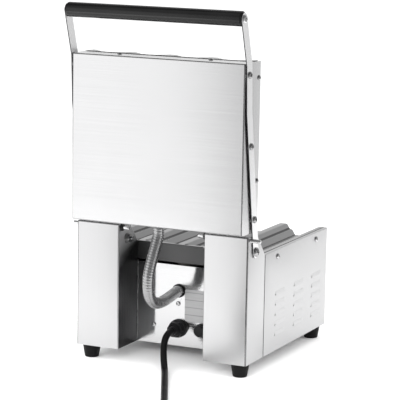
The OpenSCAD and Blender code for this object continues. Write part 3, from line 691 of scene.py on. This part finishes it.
def bend(o, pick, width, segments=4):
    """Rounds the edges whose two ends both satisfy pick."""
    bm = bmesh.new()
    bm.from_mesh(o.data)
    edges = [e for e in bm.edges if pick(mm(e.verts[0].co), mm(e.verts[1].co))]
    bmesh.ops.bevel(bm, geom=edges, offset=width / 1000.0, offset_type="OFFSET", segments=segments, profile=0.5, affect="EDGES", clamp_overlap=False)
    bm.to_mesh(o.data)
    bm.free()
    return o


def near(a, b):
    return abs(a - b) < 0.01


def flip(o, name):
    """A mirror-image copy on the other side."""
    me = o.data.copy()
    me.transform(Matrix.Scale(-1, 4, Vector((1, 0, 0))))
    me.flip_normals()
    c = bpy.data.objects.new(name, me)
    scene.collection.objects.link(c)
    return c


def keep(o, name, mat, body, slot, *nodes, angle=30.0):
    o.name = name
    o.data.name = name
    if mat is not None:
        o.data.materials.clear()
        o.data.materials.append(mat)
    for q in o.data.polygons:
        q.use_smooth = True
    o.data.set_sharp_from_angle(angle=math.radians(angle))
    if o.parent is None:
        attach(o, body)
    if nodes:
        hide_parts(*nodes)
    return o


# pillars: a folded channel, open to the front
pil = solid_yz([(0, FOOT_H), (0, PILLAR_TOP), (-30, PILLAR_TOP), (-PILLAR_D, PANEL_TOP), (-PILLAR_D, FOOT_H)], PX0, HW)
bend(pil, lambda p, q: near(p.y, 0) and near(q.y, 0) and (near(p.x, q.x) or (near(p.z, PILLAR_TOP) and near(q.z, PILLAR_TOP))), 1.8)
bend(pil, lambda p, q: near(p.x, q.x) and (near(p.x, HW) or near(p.x, PX0)) and p.z > PANEL_TOP - 0.5 and q.z > PANEL_TOP - 0.5 and abs(p.y - q.y) > 5, 1.0, 3)
bend(pil, lambda p, q: near(p.x, HW) and near(q.x, HW) and near(p.y, -PILLAR_D) and near(q.y, -PILLAR_D), 0.7, 2)
cut(pil, solid_yz([(-SH, FOOT_H + 1.5), (-SH, PILLAR_TOP - SH), (-29.4, PILLAR_TOP - SH), (-PILLAR_D + 0.9, PANEL_TOP - SH + 0.4), (-PILLAR_D - 1, PANEL_TOP - SH + 0.4), (-PILLAR_D - 1, FOOT_H + 1.5)], PX0 + SH, HW - SH))


def inner_wall(name):
    """Unpolished inside wall: the base colour is near-black low down and plain steel up at the hinge, a painted shade
    and painted reflection.
    """
    m, nt, b = new_mat(name)
    b.inputs["Metallic"].default_value = 1.0
    co_ = nt.nodes.new("ShaderNodeTexCoord")
    sp_ = nt.nodes.new("ShaderNodeSeparateXYZ")
    nt.links.new(co_.outputs["Object"], sp_.inputs["Vector"])
    height = math_node(nt, "ADD", sp_.outputs["Z"], math_node(nt, "MULTIPLY", sp_.outputs["Y"], 0.6))
    wob = noise(nt, (1, 1, 1), 40, 3.0, 0.5)
    height = math_node(nt, "ADD", height, math_node(nt, "MULTIPLY", wob.outputs["Fac"], 0.008))
    # the blend from near-black low down to plain steel near the hinge is painted shade and painted reflection
    painted_lit = span(nt, height, 0.0, 1.0, 0.208, 0.243)
    nt.links.new(ramp(nt, painted_lit, (0.062, 0.062, 0.064), (0.62, 0.62, 0.625), 0.0, 1.0), b.inputs["Base Color"])
    fine = noise(nt, (1500, 1500, 5), 1.0, 4.0, 0.6)
    nt.links.new(math_node(nt, "ADD", span(nt, fine.outputs["Fac"], 0.26, 0.34), math_node(nt, "MULTIPLY", painted_lit, 0.38)), b.inputs["Roughness"])
    add_bump(nt, b, fine.outputs["Fac"], 0.02, 0.0001)
    return m


M_INNER_PAINTED_SHADE = inner_wall("steel_inner_wall_painted_shade")
# near-black steel for the side panels' rear edges at the seam: painted shade
M_SEAM_SHADE = plain_metal("seam_edge_painted_shade", (0.06, 0.06, 0.062), (0.11, 0.11, 0.112), 0.4, 0.55, 400, 0.2)
# darkest steel, for the pillar bends and tops and the back panel's folds: painted shade and painted reflection
M_CREASE_SHADE = plain_metal("steel_crease_painted_shade", (0.16, 0.16, 0.162), (0.2, 0.2, 0.202), 0.24, 0.3, 60, 0.005)
# darker steel for the rounded bends: painted shade
M_BEND_SHADE = plain_metal("steel_bend_painted_shade", (0.27, 0.27, 0.273), (0.31, 0.31, 0.313), 0.24, 0.3, 60, 0.005)


def bends(o, mat, extra=()):
    """Faces of the rounded bends get a darker steel, as painted shade and painted reflection along each bend."""
    o.data.materials.clear()
    for q in (mat, M_BEND_SHADE, *extra):
        o.data.materials.append(q)
    for q in o.data.polygons:
        c = sorted(abs(t) for t in q.normal)
        q.material_index = 1 if 0.06 < c[1] and c[2] < 0.995 and q.area < 0.00045 and abs(q.normal.y) + abs(q.normal.z) < 1.9 else 0


bends(pil, M_PILLAR, (M_INNER_PAINTED_SHADE,))
# the pillar's bends and top faces take the darkest steel as painted shade, and its inner walls the inner-wall steel
# with its painted shade
pil.data.materials[1] = M_CREASE_SHADE
for q in pil.data.polygons:
    if q.normal.x < -0.9 and near(mm(q.center).x, PX0):
        q.material_index = 2
    elif near(q.normal.x, 0) and q.normal.y < -0.3 and q.normal.z > 0.3:
        q.material_index = 0
    elif q.normal.z > 0.9 and near(mm(q.center).z, PILLAR_TOP):
        q.material_index = 1
    elif q.material_index == 1 and mm(q.center).x < PX0 + 3:
        q.material_index = 0
pil2 = flip(pil, "pillar_sheet_left")
keep(pil, "pillar_sheet_right", None, "base", "stainless", "pillar_right")
keep(pil2, "pillar_sheet_left", None, "base", "stainless", "pillar_left")

# folded edge of the back panel in the darkest steel, showing as a thin line of painted shade where it meets each pillar
fold = solid_yz([(-56.9, FOOT_H + 3), (-55.9, FOOT_H + 3), (-55.9, 133.5), (-56.9, 133.5)], PX0 - 0.8, PX0 + 0.02)
bend(fold, lambda p, q: near(p.x, PX0 - 0.8) and near(q.x, PX0 - 0.8) and near(p.y, q.y), 0.25, 2)
fold2 = flip(fold, "panel_fold_left")
keep(fold, "panel_fold_right", M_CREASE_SHADE, "base", "stainless")
keep(fold2, "panel_fold_left", M_CREASE_SHADE, "base", "stainless")

# lid pan
lid = solid_box((-LID_HW, -31.4, LID_Z0), (LID_HW, LID_Y, LID_Z1))
bend(lid, lambda p, q: near(p.y, LID_Y) and near(q.y, LID_Y) and near(p.x, q.x), 1.5, 4)
bend(lid, lambda p, q: p.y > -29 and q.y > -29 and near(p.z, q.z), 1.5, 4)
cut(lid, solid_box((-LID_HW + SH, -40, LID_Z0 + SH), (LID_HW - SH, LID_Y - SH, LID_Z1 - SH)))
cut(lid, boxes([((-LID_HW + SH, -40, z - 2), (LID_HW - SH, -12, z + 2)) for z in (LID_Z0, LID_Z1)]))
cut(lid, solid_yz([(-12.2, LID_Z0 - 1), (-12.2, LID_Z0 + 0.6), (-30.2, LID_Z0 + 10), (-60, LID_Z0 + 10), (-60, LID_Z0 - 1)], -200, 200))
cut(lid, rod((0, 7.5, LID_Z0 - 2), (0, 7.5, LID_Z0 + 3), 8.6))
bends(lid, M_LID, (M_LIDSIDE,))
for q in lid.data.polygons:
    if abs(q.normal.x) > 0.98:
        q.material_index = 2
keep(lid, "lid_pan", None, "lid", "stainless", "lid_cover")

# side panels with pressed louvres
LOUVRE_Y, LOUVRE_Z, LOUVRE_L = (-96, -161, -225), (96.4, 82.3, 68.2, 54.1, 40.0), 33.0
pan = solid_box((100, -BODY_D, FOOT_H), (HW, -PILLAR_D - 0.7, PANEL_TOP))
bend(pan, lambda p, q: near(p.x, HW) and near(q.x, HW) and ((near(p.z, PANEL_TOP) and near(q.z, PANEL_TOP)) or (near(p.y, -BODY_D) and near(q.y, -BODY_D))), 1.5)
bend(pan, lambda p, q: near(p.x, HW) and near(q.x, HW) and near(p.y, -PILLAR_D - 0.7) and near(q.y, -PILLAR_D - 0.7), 0.8, 2)
cut(pan, solid_box((90, -BODY_D + SH, 0), (HW - SH, -40, PANEL_TOP - SH)))
cut(pan, boxes([((90, -BODY_D + SH, PANEL_TOP - 5), (122.5, -40, PANEL_TOP + 5))]))
cut(pan, boxes([((90, -BODY_D - 5, 0), (115, -BODY_D + 3, PANEL_TOP + 5))]))
cut(pan, boxes([((110, -BODY_D - 5, PANEL_TOP - 30), (HW - 1.6, -BODY_D + 3, PANEL_TOP - 1.3)), ((110, -BODY_D - 5, 0), (HW - 1.6, -BODY_D + 3, FOOT_H + 2))]))
cut(pan, boxes([((HW - 3, y - LOUVRE_L + 2.5, z + 0.2), (HW + 1, y - 2.5, z + 3.2)) for y in LOUVRE_Y for z in LOUVRE_Z]))
cut(pan, boxes([((HW - 3, y - 0.2, z - 0.6), (HW + 1, y + 1.5, z + 1.3)) for y in LOUVRE_Y for z in LOUVRE_Z]))
bends(pan, M_SIDE, (M_SEAM_SHADE,))
for q in pan.data.polygons:
    if mm(q.center).z > PANEL_TOP - 2:
        q.material_index = 0
    # the rear edge faces at the seam with each pillar take the near-black steel: painted shade in the gap
    if q.normal.y > 0.2 and mm(q.center).y > -PILLAR_D - 1.8:
        q.material_index = 2
pan2 = flip(pan, "side_sheet_left")
keep(pan, "side_sheet_right", None, "base", "stainless", "side_panel_right")
keep(pan2, "side_sheet_left", None, "base", "stainless", "side_panel_left")


def louvres(side):
    v, f = [], []
    nu, nv = 44, 8
    for y in LOUVRE_Y:
        for z in LOUVRE_Z:
            k = len(v)
            for i in range(nu + 1):
                d = LOUVRE_L * i / nu
                e = min(d, LOUVRE_L - d)
                g = math.sqrt(max(0.0, 1 - (1 - min(1.0, e / 1.8)) ** 2))
                for j in range(nv + 1):
                    t = j / nv
                    bulge = 0.42 * g * t
                    v.append(P(side * (HW - 0.25 + bulge), y - d, z + 5.2 - (5.0 * t) * (0.35 + 0.65 * g)))
            for i in range(nu):
                for j in range(nv):
                    a = k + i * (nv + 1) + j
                    f.append((a, a + 1, a + nv + 2, a + nv + 1))
    o = mesh_obj("louvres", v, f, M_LOUVRE, 60)
    so = o.modifiers.new("thick", "SOLIDIFY")
    so.thickness = 0.0007
    so.offset = 0.0
    settle(o, 50)
    return o


keep(louvres(1), "louvres_right", M_LOUVRE, "base", "stainless", angle=50)
keep(louvres(-1), "louvres_left", M_LOUVRE, "base", "stainless", angle=50)


# ------------------------------------------------------------------ cast plates
def fillet(pts, r, seg=4):
    out = [pts[0]]
    for a, b, c in zip(pts, pts[1:], pts[2:]):
        a, b, c = Vector(a), Vector(b), Vector(c)
        u, w = (a - b), (c - b)
        d = min(r, u.length * 0.48, w.length * 0.48)
        p0, p1 = b + u.normalized() * d, b + w.normalized() * d
        for i in range(seg + 1):
            t = i / seg
            out.append(tuple((1 - t) ** 2 * p0 + 2 * t * (1 - t) * b + t * t * p1))
    out.append(pts[-1])
    return out


HALF = [(6, 0), (10, -7), (14, -7.7), (19, -15.7), (24.5, -15), (28, -18)]
prof = [(-122, 0)] + [(-120 + a, d) for a, d in HALF]
for c in (-60, 0, 60):
    prof += [(c - a, d) for a, d in reversed(HALF)] + [(c + a, d) for a, d in HALF]
prof += [(120 - a, d) for a, d in reversed(HALF)] + [(122, 0)]
prof = fillet(prof, 2.2)


def in_shaded_corner(x, d):
    """True in the hollow corners at the foot of each step, which are darkened as painted shade."""
    a = min(abs(x - c) for c in (-120, -60, 0, 60, 120))
    return any(math.hypot(a - p, d - q) < 1.5 for p, q in (HALF[1], HALF[3]))


def plate(to_point, s0, s1, back):
    ring = prof + [(122, -back), (-122, -back)]
    v, f = loft([[to_point(x, d, s) for x, d in ring] for s in (s0, s1)])
    return mesh_obj("plate", v, f, M_CAST, 32)


low = plate(lambda x, d, s: P(x, s, 160 + d), -63.0, -277.0, 25.5)
wall = solid_box((-122, -63.5, 134.5), (122, -57.5, 160))
cut(low, wall, "UNION")
low.data.materials.clear()
low.data.materials.append(M_CAST)
low.data.materials.append(M_CASTSKIN_AND_SHADE)
low.data.materials.append(M_FLUTE)
# the dark skin goes on the end faces and the rear beam as a darker unmachined skin, and on the undersides, the vertical
# step walls and the hollow corners as painted shade
for q in low.data.polygons:
    q.material_index = 1 if abs(q.normal.y) > 0.9 or q.normal.z < -0.9 or abs(q.normal.x) > 0.98 or in_shaded_corner(mm(q.center).x, mm(q.center).z - 160) else 2 if abs(q.normal.x) > 0.6 else 0
keep(low, "lower_casting", None, "base", "cast_plate", "lower_plate", angle=32)
soften(low, 0.9, 3, 50)
upp = plate(lambda x, d, s: P(x, -31 - d, s), 206.0, 421.6, 25.5)
cut(upp, solid_box((-122, -31, 206), (122, -5.5, 212)), "UNION")
cut(upp, solid_box((-123, -12.3, 419.6), (123, 0, 424)))
upp.data.materials.clear()
upp.data.materials.append(M_CAST)
upp.data.materials.append(M_CASTSKIN_AND_SHADE)
upp.data.materials.append(M_FLUTE)
# the dark skin goes on the rear end and sides as a darker unmachined skin, and on the undersides, the vertical step
# walls and the hollow corners as painted shade
for q in upp.data.polygons:
    q.material_index = 1 if q.normal.z < -0.9 or q.normal.y > 0.9 or abs(q.normal.x) > 0.98 or in_shaded_corner(mm(q.center).x, -31 - mm(q.center).y) else 2 if abs(q.normal.x) > 0.6 else 0
keep(upp, "upper_casting", None, "lid", "cast_plate", "upper_plate", angle=32)
soften(upp, 0.9, 3, 50)

# ------------------------------------------------------------------ turned and moulded pieces


def lathe(items, mat, name, n=40, angle=38.0):
    """Solids of revolution: each item is an origin, an axis and (radius, height) points; a radius may be a function of the angle."""
    v, f = [], []
    for org, axis, pts in items:
        org, axis = Vector(org), Vector(axis).normalized()
        e1 = axis.orthogonal().normalized()
        if abs(axis.z) < 0.5:
            e1 = Vector((0, 0, 1))
        e2 = axis.cross(e1)
        rings = []
        for r, h in pts:
            ring = []
            for k in range(n):
                a = 2 * math.pi * k / n
                rr = r(a) if callable(r) else r
                ring.append(P(*(org + axis * h + e1 * (rr * math.cos(a)) + e2 * (rr * math.sin(a)))))
            rings.append(ring)
        vv, ff = loft(rings)
        k = len(v)
        v += vv
        f += [tuple(k + i for i in q) for q in ff]
    return mesh_obj(name, v, f, mat, angle)


def pan_head(r, h, shank):
    return [(r * 0.5, -shank), (r * 0.5, 0), (r * 0.96, 0), (r, h * 0.12), (r, h * 0.3), (r * 0.96, h * 0.5), (r * 0.84, h * 0.74), (r * 0.62, h * 0.92), (r * 0.3, h), (0.02, h)]


def screws(name, body, nodes, items, mat=None):
    """Pan-head screws with cross recesses: (place, axis, head radius, head height, shank, turn of the recess)."""
    o = lathe([(c, ax, pan_head(r, h, sl)) for c, ax, r, h, sl, tw in items], mat or M_HARD, name)
    v, f = [], []
    for c, ax, r, h, sl, tw in items:
        ax = Vector(ax).normalized()
        e1 = ax.orthogonal().normalized()
        e2 = ax.cross(e1)
        w, l0, l1, dep = 0.155 * r, 0.42 * r, 0.66 * r, 0.62 * h
        pts = []
        for q in range(4):
            a = math.radians(tw + 90 * q)
            u, t = e1 * math.cos(a) + e2 * math.sin(a), e2 * math.cos(a) - e1 * math.sin(a)
            for hh, ll in ((h - dep, l0), (h + 0.5, l1)):
                pts.append((hh, Vector(c) + ax * hh + u * ll - t * w, Vector(c) + ax * hh + u * ll + t * w, Vector(c) + ax * hh + (u + t) * w))
        for lev in (0, 1):
            k = len(v)
            for q in range(4):
                v += [P(*pts[q * 2 + lev][1]), P(*pts[q * 2 + lev][2]), P(*pts[q * 2 + lev][3])]
        b0, t0 = len(v) - 24, len(v) - 12
        f += [(b0 + i, b0 + (i + 1) % 12, t0 + (i + 1) % 12, t0 + i) for i in range(12)]
        f += [tuple(b0 + i for i in range(11, -1, -1)), tuple(t0 + i for i in range(12))]
    cut(o, mesh_obj("recess", v, f, M_HARD))
    return keep(o, name, mat or M_HARD, body, "hardware", *nodes, angle=34)


def arm_y(z):
    pts = [(-23, 169), (6.5, 356), (9.5, 419), (28.5, 479.5)]
    for (y0, z0), (y1, z1) in zip(pts, pts[1:]):
        if z <= z1:
            return y0 + (y1 - y0) * (z - z0) / (z1 - z0)
    return pts[-1][0]


SIDES = (1, -1)
screws("side_screw_heads", "base", ["side_screws"], [((s * HW, y, 149.5), (s, 0, 0), 4.0, 2.2, 12, 20 + 31 * i) for s in SIDES for i, y in enumerate((-100.5, -238.5))])
screws("back_screw_heads", "base", ["back_screws"], [((x, -57, z), (0, 1, 0), 3.2, 2.0, 8, 15 + 40 * i) for i, (x, z) in enumerate(((0.5, 78), (37.5, 45)))])
screws("arm_screw_heads", "lid", ["arm_screws"], [((s * 128.56, arm_y(z), z), (s, 0, 0), 4.7, 2.7, 6.5, 12 + 27 * i) for s in SIDES for i, z in enumerate((213.5, 312, 406))], M_SCREW)
screws("lid_screw_heads", "lid", ["lid_screws"], [((s * LID_HW, -26.2, z), (s, 0, 0), 3.4, 2.0, 10, 30 + 25 * i) for s in SIDES for i, z in enumerate((263.5, 399.5))] + [((x, -4, 421.02), (0, 0, 1), 3.0, 1.9, 0.02, 10 + x) for x in (-67, 67)], M_SCREW)
screws("handle_screw_heads", "lid", ["handle_screws"], [((s * 128.56, 28.5, 479.5), (s, 0, 0), 5.6, 2.8, 16, 33) for s in SIDES])

# hinge bolts and the stop pins' rubber ends
screws("hinge_bolts", "base", ["pivot_bolts"], [((s * 128.6, -23, 169), (s, 0, 0), 6.2, 3.6, 75, 40) for s in SIDES], M_BOLT)

pins = lathe([((s * e, -7.6, 186.4), (-s, 0, 0), [(0.02, 0), (1.9, 0), (2.5, 0.3), (2.7, 0.8), (2.7, e - 60), (2.9, e - 59.5), (3.0, e - 58.9), (3.0, e - 51.8), (2.6, e - 51.2), (0.02, e - 51.1)]) for s, e in ((1, 136.6), (-1, 141.8))], M_PIN, "stop_pin_rods", 32)
keep(pins, "stop_pin_rods", M_PIN, "base", "hardware", "stop_pins", angle=38)
collars = lathe([((s * 63.45, -7.6, 186.4), (-s, 0, 0), [(3.0, 0), (4.6, 0), (4.9, 0.5), (4.9, 2.4), (4.5, 3.0), (3.0, 3.1)]) for s in SIDES], M_BLACK, "stop_pin_collars", 32)
keep(collars, "stop_pin_collars", M_BLACK, "base", "black_plastic", "stop_pin_caps", angle=38)


def hexagon(ap, rc):
    return lambda a: min(rc, ap / math.cos((a + math.pi / 6) % (math.pi / 3) - math.pi / 6))


nuts = lathe([((s * 63.45, -23, 169), (-s, 0, 0), [(4.0, 0), (6.9, 0), (7.1, 0.2), (7.1, 0.9), (6.9, 1.1), (hexagon(5.6, 5.9), 1.15), (hexagon(5.6, 6.4), 1.7), (hexagon(5.6, 6.4), 5.4), (hexagon(5.6, 5.9), 6.0), (4.3, 6.1), (4.0, 6.2)]) for s in SIDES], M_NUT, "lock_nuts", 72, 30)
keep(nuts, "lock_nuts", M_NUT, "base", "hardware", "pivot_nuts", angle=30)
fer = lathe([((0, 7.5, 196), (0, 0, 1), [(8.0, 4), (8.5, 4), (8.5, -0.05), (9.6, -0.05), (9.8, -0.3), (9.8, -1.1), (9.4, -1.5), (8.0, -1.6)])], M_NUT, "conduit_bush", 40)
keep(fer, "conduit_bush", M_NUT, "lid", "hardware", "hose_ferrule_lid", angle=30)

# arms: flat bar, cranked towards the grip
AX0, AX1 = 127.06, 128.56


def bar_outline(p, w):
    p = [Vector(q) for q in p]
    left = lambda d: Vector((-d.y, d.x))
    dirs = [(b - a).normalized() for a, b in zip(p, p[1:])]
    mit = []
    for d0, d1 in zip(dirs, dirs[1:]):
        m_ = (left(d0) + left(d1)).normalized()
        mit.append(m_ / m_.dot(left(d0)))
    out = [p[i + 1] + mit[i] * (w / 2) for i in range(len(mit))]
    out += [p[-1] + (left(dirs[-1]) * math.cos(k * math.pi / 24) + dirs[-1] * math.sin(k * math.pi / 24)) * (w / 2) for k in range(25)]
    out += [p[i + 1] - mit[i] * (w / 2) for i in range(len(mit) - 1, -1, -1)]
    out += [p[0] - (left(dirs[0]) * math.cos(k * math.pi / 24) + dirs[0] * math.sin(k * math.pi / 24)) * (w / 2) for k in range(25)]
    return [tuple(q) for q in out]


arm_line = bar_outline([(-23, 169), (6.5, 356), (9.5, 419), (28.5, 479.5)], 16.4)
arm = solid_yz(arm_line, AX0, AX1)
arm2 = flip(arm, "flat_arm_left")
for o, nm, nd in ((arm, "flat_arm_right", "arm_right"), (arm2, "flat_arm_left", "arm_left")):
    keep(o, nm, M_ARM, "lid", "stainless", nd)
    soften(o, 0.25, 2, 60)

# grip: moulded sleeve with rounded ends
GE = 127.1
grip = lathe([((0, 28.5, 479.5), (1, 0, 0), [(5.05, -GE), (7.6, -GE), (8.9, -GE + 0.3), (9.7, -GE + 1.0), (10.0, -GE + 2.2), (10.0, 0), (10.0, GE - 2.2), (9.7, GE - 1.0), (8.9, GE - 0.3), (7.6, GE), (5.05, GE)])], M_GRIP, "grip_sleeve", 72)
keep(grip, "grip_sleeve", M_GRIP, "lid", "grip_plastic", "handle_grip", angle=50)


# cable gland: hexagon body, hexagon dome nut, soft sleeve round the lead
gl = lathe([((0, -57, 43.5), (0, 1, 0), [
    (7.0, -9), (7.0, 0), (12.3, 0.02), (12.7, 0.5), (12.7, 3.6), (12.4, 4.3), (11.7, 4.7), (10.4, 4.8), (10.4, 5.8), (hexagon(10.2, 10.7), 5.9), (hexagon(10.2, 11.6), 6.6),
    (hexagon(10.2, 11.6), 12.0), (hexagon(10.2, 10.8), 12.8), (9.6, 13.0), (8.6, 14.4), (7.9, 15.8), (7.1, 16.8), (6.5, 17.2), (6.2, 17.3), (5.9, 20.5), (5.5, 22.6), (5.2, 22.9), (4.7, 22.9)])], M_BLACK, "gland", 72, 30)
keep(gl, "gland", M_BLACK, "base", "black_plastic", "cable_gland", angle=30)


def knurl(r, d, n):
    return lambda a: r - d * (0.5 + 0.5 * math.cos(n * a))


cap = lathe([((-35, -57, 44.5), (0, 1, 0), [
    (6, -12), (6, 0), (9.3, 0.02), (9.3, 2.4), (8.9, 3.0), (8.2, 3.1), (knurl(8.2, 0.0, 18), 3.2), (knurl(8.1, 0.5, 18), 3.8), (knurl(7.9, 0.5, 18), 8.4), (knurl(7.6, 0.2, 18), 9.2), (6.9, 9.8), (5.6, 10.0), (0.02, 10.0)])], M_BLACK, "screw_cap", 108, 30)
keep(cap, "screw_cap", M_BLACK, "base", "black_plastic", "reset_cap", angle=30)

# rubber feet
ft = lathe([((x, y, 0), (0, 0, 1), [(5, 6), (5, 0.3), (5.3, 0), (8.7, 0), (9.4, 0.3), (9.8, 1.0), (12.5, 16.8), (12.8, 17.6), (12.8, 18.5), (2.6, 18.5)]) for x in (-112, 112) for y in (-16, -264)], M_RUBBER, "rubber_feet", 40, 30)
keep(ft, "rubber_feet", M_RUBBER, "base", "rubber", "feet", angle=30)

# blank plate with rounded corners
lab = solid_box((-58, -56.98, 54.5), (-9.5, -56.4, 99))
bend(lab, lambda p, q: near(p.x, q.x) and near(p.z, q.z), 2.5, 4)
keep(lab, "blank_plate", M_LABEL, "base", "label", "rating_plate")

# ------------------------------------------------------------------ control panel on the front
KX, KZ, KY = 66.0, 62.0, -BODY_D - 0.6
fp = solid_box((-HW + 12.2, -BODY_D, FOOT_H), (HW - 12.2, -BODY_D + SH, 100.5))
bend(fp, lambda p, q: near(p.y, -BODY_D) and near(q.y, -BODY_D), 0.35, 2)
cut(fp, rod((KX, -BODY_D - 3, KZ), (KX, -BODY_D + 4, KZ), 5.1))
for x in (-22, 14):
    cut(fp, rod((x, -BODY_D - 3, 62), (x, -BODY_D + 4, 62), 4.1))
cut(fp, solid_box((-66 - 7.2, -BODY_D - 3, 62 - 12.2), (-66 + 7.2, -BODY_D + 4, 62 + 12.2)))
keep(fp, "control_panel", M_FRONT, "base", "stainless", "front_panel")

# knob: fluted skirt, raised boss and a waisted bar to turn it by
skirt = lathe([((KX, KY, KZ), (0, -1, 0), [
    (3.1, 0.6), (3.1, 0), (21.4, 0), (22.4, 0.25), (knurl(22.9, 0.0, 48), 0.8), (knurl(23.0, 0.45, 48), 1.3), (knurl(23.0, 0.45, 48), 3.7), (knurl(22.7, 0.2, 48), 4.4), (21.9, 4.85), (20.9, 5.0), (20.2, 5.15), (20.0, 5.5), (19.9, 7.1), (19.5, 7.7), (18.7, 8.0), (17.4, 8.05), (14.0, 7.7), (0.02, 7.7)])], M_BLACK, "knob_skirt", 240, 40)
bar_rings = []
for h, w, l in ((7.0, 6.5, 19.75), (8.2, 6.3, 19.7), (9.2, 6.05, 19.6), (12.0, 5.7, 19.4), (16.0, 5.45, 19.2), (18.8, 5.4, 19.05), (19.9, 5.25, 18.85), (20.5, 4.9, 18.4), (20.85, 4.3, 17.7), (20.95, 3.5, 16.9)):
    ring = []
    for k in range(88):
        a = 2 * math.pi * k / 88
        c, q = math.cos(a), math.sin(a)
        ring.append(P(KX + w * math.copysign(abs(c) ** 0.42, c), KY - h, KZ + l * math.copysign(abs(q) ** 0.42, q)))
    bar_rings.append(ring)
v, f = loft(bar_rings)
bar = mesh_obj("knob_bar", v, f, M_BLACK, 40)
keep(skirt, "knob_skirt", M_BLACK, "knob", "black_plastic", "thermostat_knob", angle=40)
keep(bar, "knob_bar", M_BLACK, "knob", "black_plastic", angle=40)
ptr = solid_box((KX - 0.9, KY - 21.12, KZ + 10.6), (KX + 0.9, KY - 20.5, KZ + 17.6))
bend(ptr, lambda p, q: near(p.x, q.x) and near(p.z, q.z), 0.7, 4)
keep(ptr, "pointer_inlay", M_WHITE, "knob", "white_plastic", "knob_pointer")


def prisms(shapes, mat, name, to_point, lo, hi):
    """Flat printed marks: each outline raised by a hair between two heights over a surface."""
    v, f = [], []
    for pts in shapes:
        vv, ff = loft([[to_point(u, w, h) for u, w in pts] for h in (lo, hi)])
        k = len(v)
        v += vv
        f += [tuple(k + i for i in q) for q in ff]
    return mesh_obj(name, v, f, mat, 30)


M_PRINT = plastic("dial_print", (0.006, 0.006, 0.0062), (0.012, 0.012, 0.0122), 0.5, 0.62, 1500, 0.1)
ticks = []
for i in range(31):
    a = math.radians(9.0 * i)
    wide, r1 = (0.42, 29.2) if i % 5 == 0 else (0.22, 27.6)
    c, q = math.cos(a), math.sin(a)
    ticks.append([(r * q + o * c, r * c - o * q) for r, o in ((25.4, -wide), (25.4, wide), (r1, wide), (r1, -wide))])
dial = prisms(ticks, M_PRINT, "dial_ticks", lambda u, w, h: P(KX + u, -BODY_D - h, KZ + w), -0.1, 0.1)
keep(dial, "dial_ticks", M_PRINT, "base", "black_plastic")
bm = bmesh.new()
for i in range(7):
    tc = bpy.data.curves.new("figure", "FONT")
    tc.body = str(50 * i)
    tc.size = 0.0056
    tc.align_x, tc.align_y = "CENTER", "CENTER"
    tc.extrude = 0.0001
    tc.resolution_u = 4
    to = bpy.data.objects.new("figure", tc)
    scene.collection.objects.link(to)
    a = math.radians(45.0 * i)
    rr = 32.6 + 1.6 * abs(math.sin(a))
    to.location = P(KX + rr * math.sin(a), -BODY_D, KZ + rr * math.cos(a))
    to.rotation_euler = (math.pi / 2, 0, 0)
    me = shown(to)
    me.transform(to.matrix_world)
    bm.from_mesh(me)
    bpy.data.objects.remove(to)
    bpy.data.curves.remove(tc)
    bpy.data.meshes.remove(me)
bmesh.ops.remove_doubles(bm, verts=bm.verts, dist=0.000001)
me = bpy.data.meshes.new("dial_figures")
bm.to_mesh(me)
bm.free()
figs = bpy.data.objects.new("dial_figures", me)
scene.collection.objects.link(figs)
keep(figs, "dial_figures", M_PRINT, "base", "black_plastic")

# rocker marks, on the two faces of the tilted rocker
TILT = math.radians(8.0)


def on_rocker(end):
    def place(u, w, h):
        s_ = 3.75 + w * end
        y = -5.0 - 0.2132 * s_ - 0.977 * h
        z = end * (0.977 * s_ - 0.2132 * h)
        return P(-66 + u, -BODY_D + 2 + y * math.cos(TILT) - z * math.sin(TILT), 62 + y * math.sin(TILT) + z * math.cos(TILT))
    return place


on = prisms([[(-0.38, -1.75), (0.38, -1.75), (0.38, 1.75), (-0.38, 1.75)]], M_WHITE, "mark_on", on_rocker(1), -0.1, 0.07)
keep(on, "mark_on", M_WHITE, "rocker", "white_plastic")
ring = []
for k in range(40):
    a = 2 * math.pi * k / 40
    ring.append([on_rocker(-1)(r * math.cos(a), r * math.sin(a), h) for r, h in ((1.3, -0.1), (1.85, -0.1), (1.85, 0.07), (1.3, 0.07))])
v, f = loft(ring, False, False)
f += [(39 * 4 + k, 39 * 4 + (k + 1) % 4, (k + 1) % 4, k) for k in range(4)]
off = mesh_obj("mark_off", v, f, M_WHITE, 30)
keep(off, "mark_off", M_WHITE, "rocker", "white_plastic")

# ------------------------------------------------------------------ finish on the carried-over pieces
FINISH = {
    M_LID: ["lid_cover"],
    M_PILLAR: ["pillar_left", "pillar_right"],
    M_SIDE: ["side_panel_left", "side_panel_right"],
    M_FRONT: ["front_panel"],
    M_BACK: ["back_panel"],
    M_TRAY: ["drip_tray"],
    M_PLAIN: ["bottom_plate", "tray_runners"],
    M_ARM: ["arm_left", "arm_right"],
    M_HARD: ["foot_screws", "side_screws", "back_screws", "pivot_bolts", "pivot_washers", "lid_screws", "arm_spacers", "arm_screws", "handle_rod", "handle_screws", "thermostat_shaft", "hose_ferrule_lid", "plug_pins"],
    M_PIN: ["stop_pins"],
    M_NUT: ["pivot_nuts"],
    M_CAST: ["lower_plate", "upper_plate"],
    M_SHEATH: ["lower_element", "upper_element"],
    M_CLAMP: ["lower_clamp_plate", "upper_clamp_plate"],
    M_WOOL: ["lower_insulation", "upper_insulation"],
    M_CERAM: ["thermostat", "terminal_block"],
    M_COPPER: ["sensor_bulb"],
    M_BLACK: ["thermostat_knob", "switch_housing", "stop_pin_caps", "reset_cap", "cable_gland"],
    M_GRIP: ["handle_grip"],
    M_WHITE: ["knob_pointer"],
    M_RED: ["switch_rocker"],
    M_RUBBER: ["feet", "hose_grommet"],
    M_GREEN: ["lamp_power"],
    M_AMBER: ["lamp_heat"],
    M_LABEL: ["rating_plate"],
}
for mat, names in FINISH.items():
    for n in names:
        me = node[n].data
        me.materials.clear()
        me.materials.append(mat)
for n, w in {"back_panel": 0.25, "drip_tray": 0.3, "switch_housing": 0.5, "switch_rocker": 0.4, "hose_grommet": 0.3}.items():
    wd = node[n].modifiers.new("weld", "WELD")
    wd.merge_threshold = 0.000005
    soften(node[n], w, 2, 38)
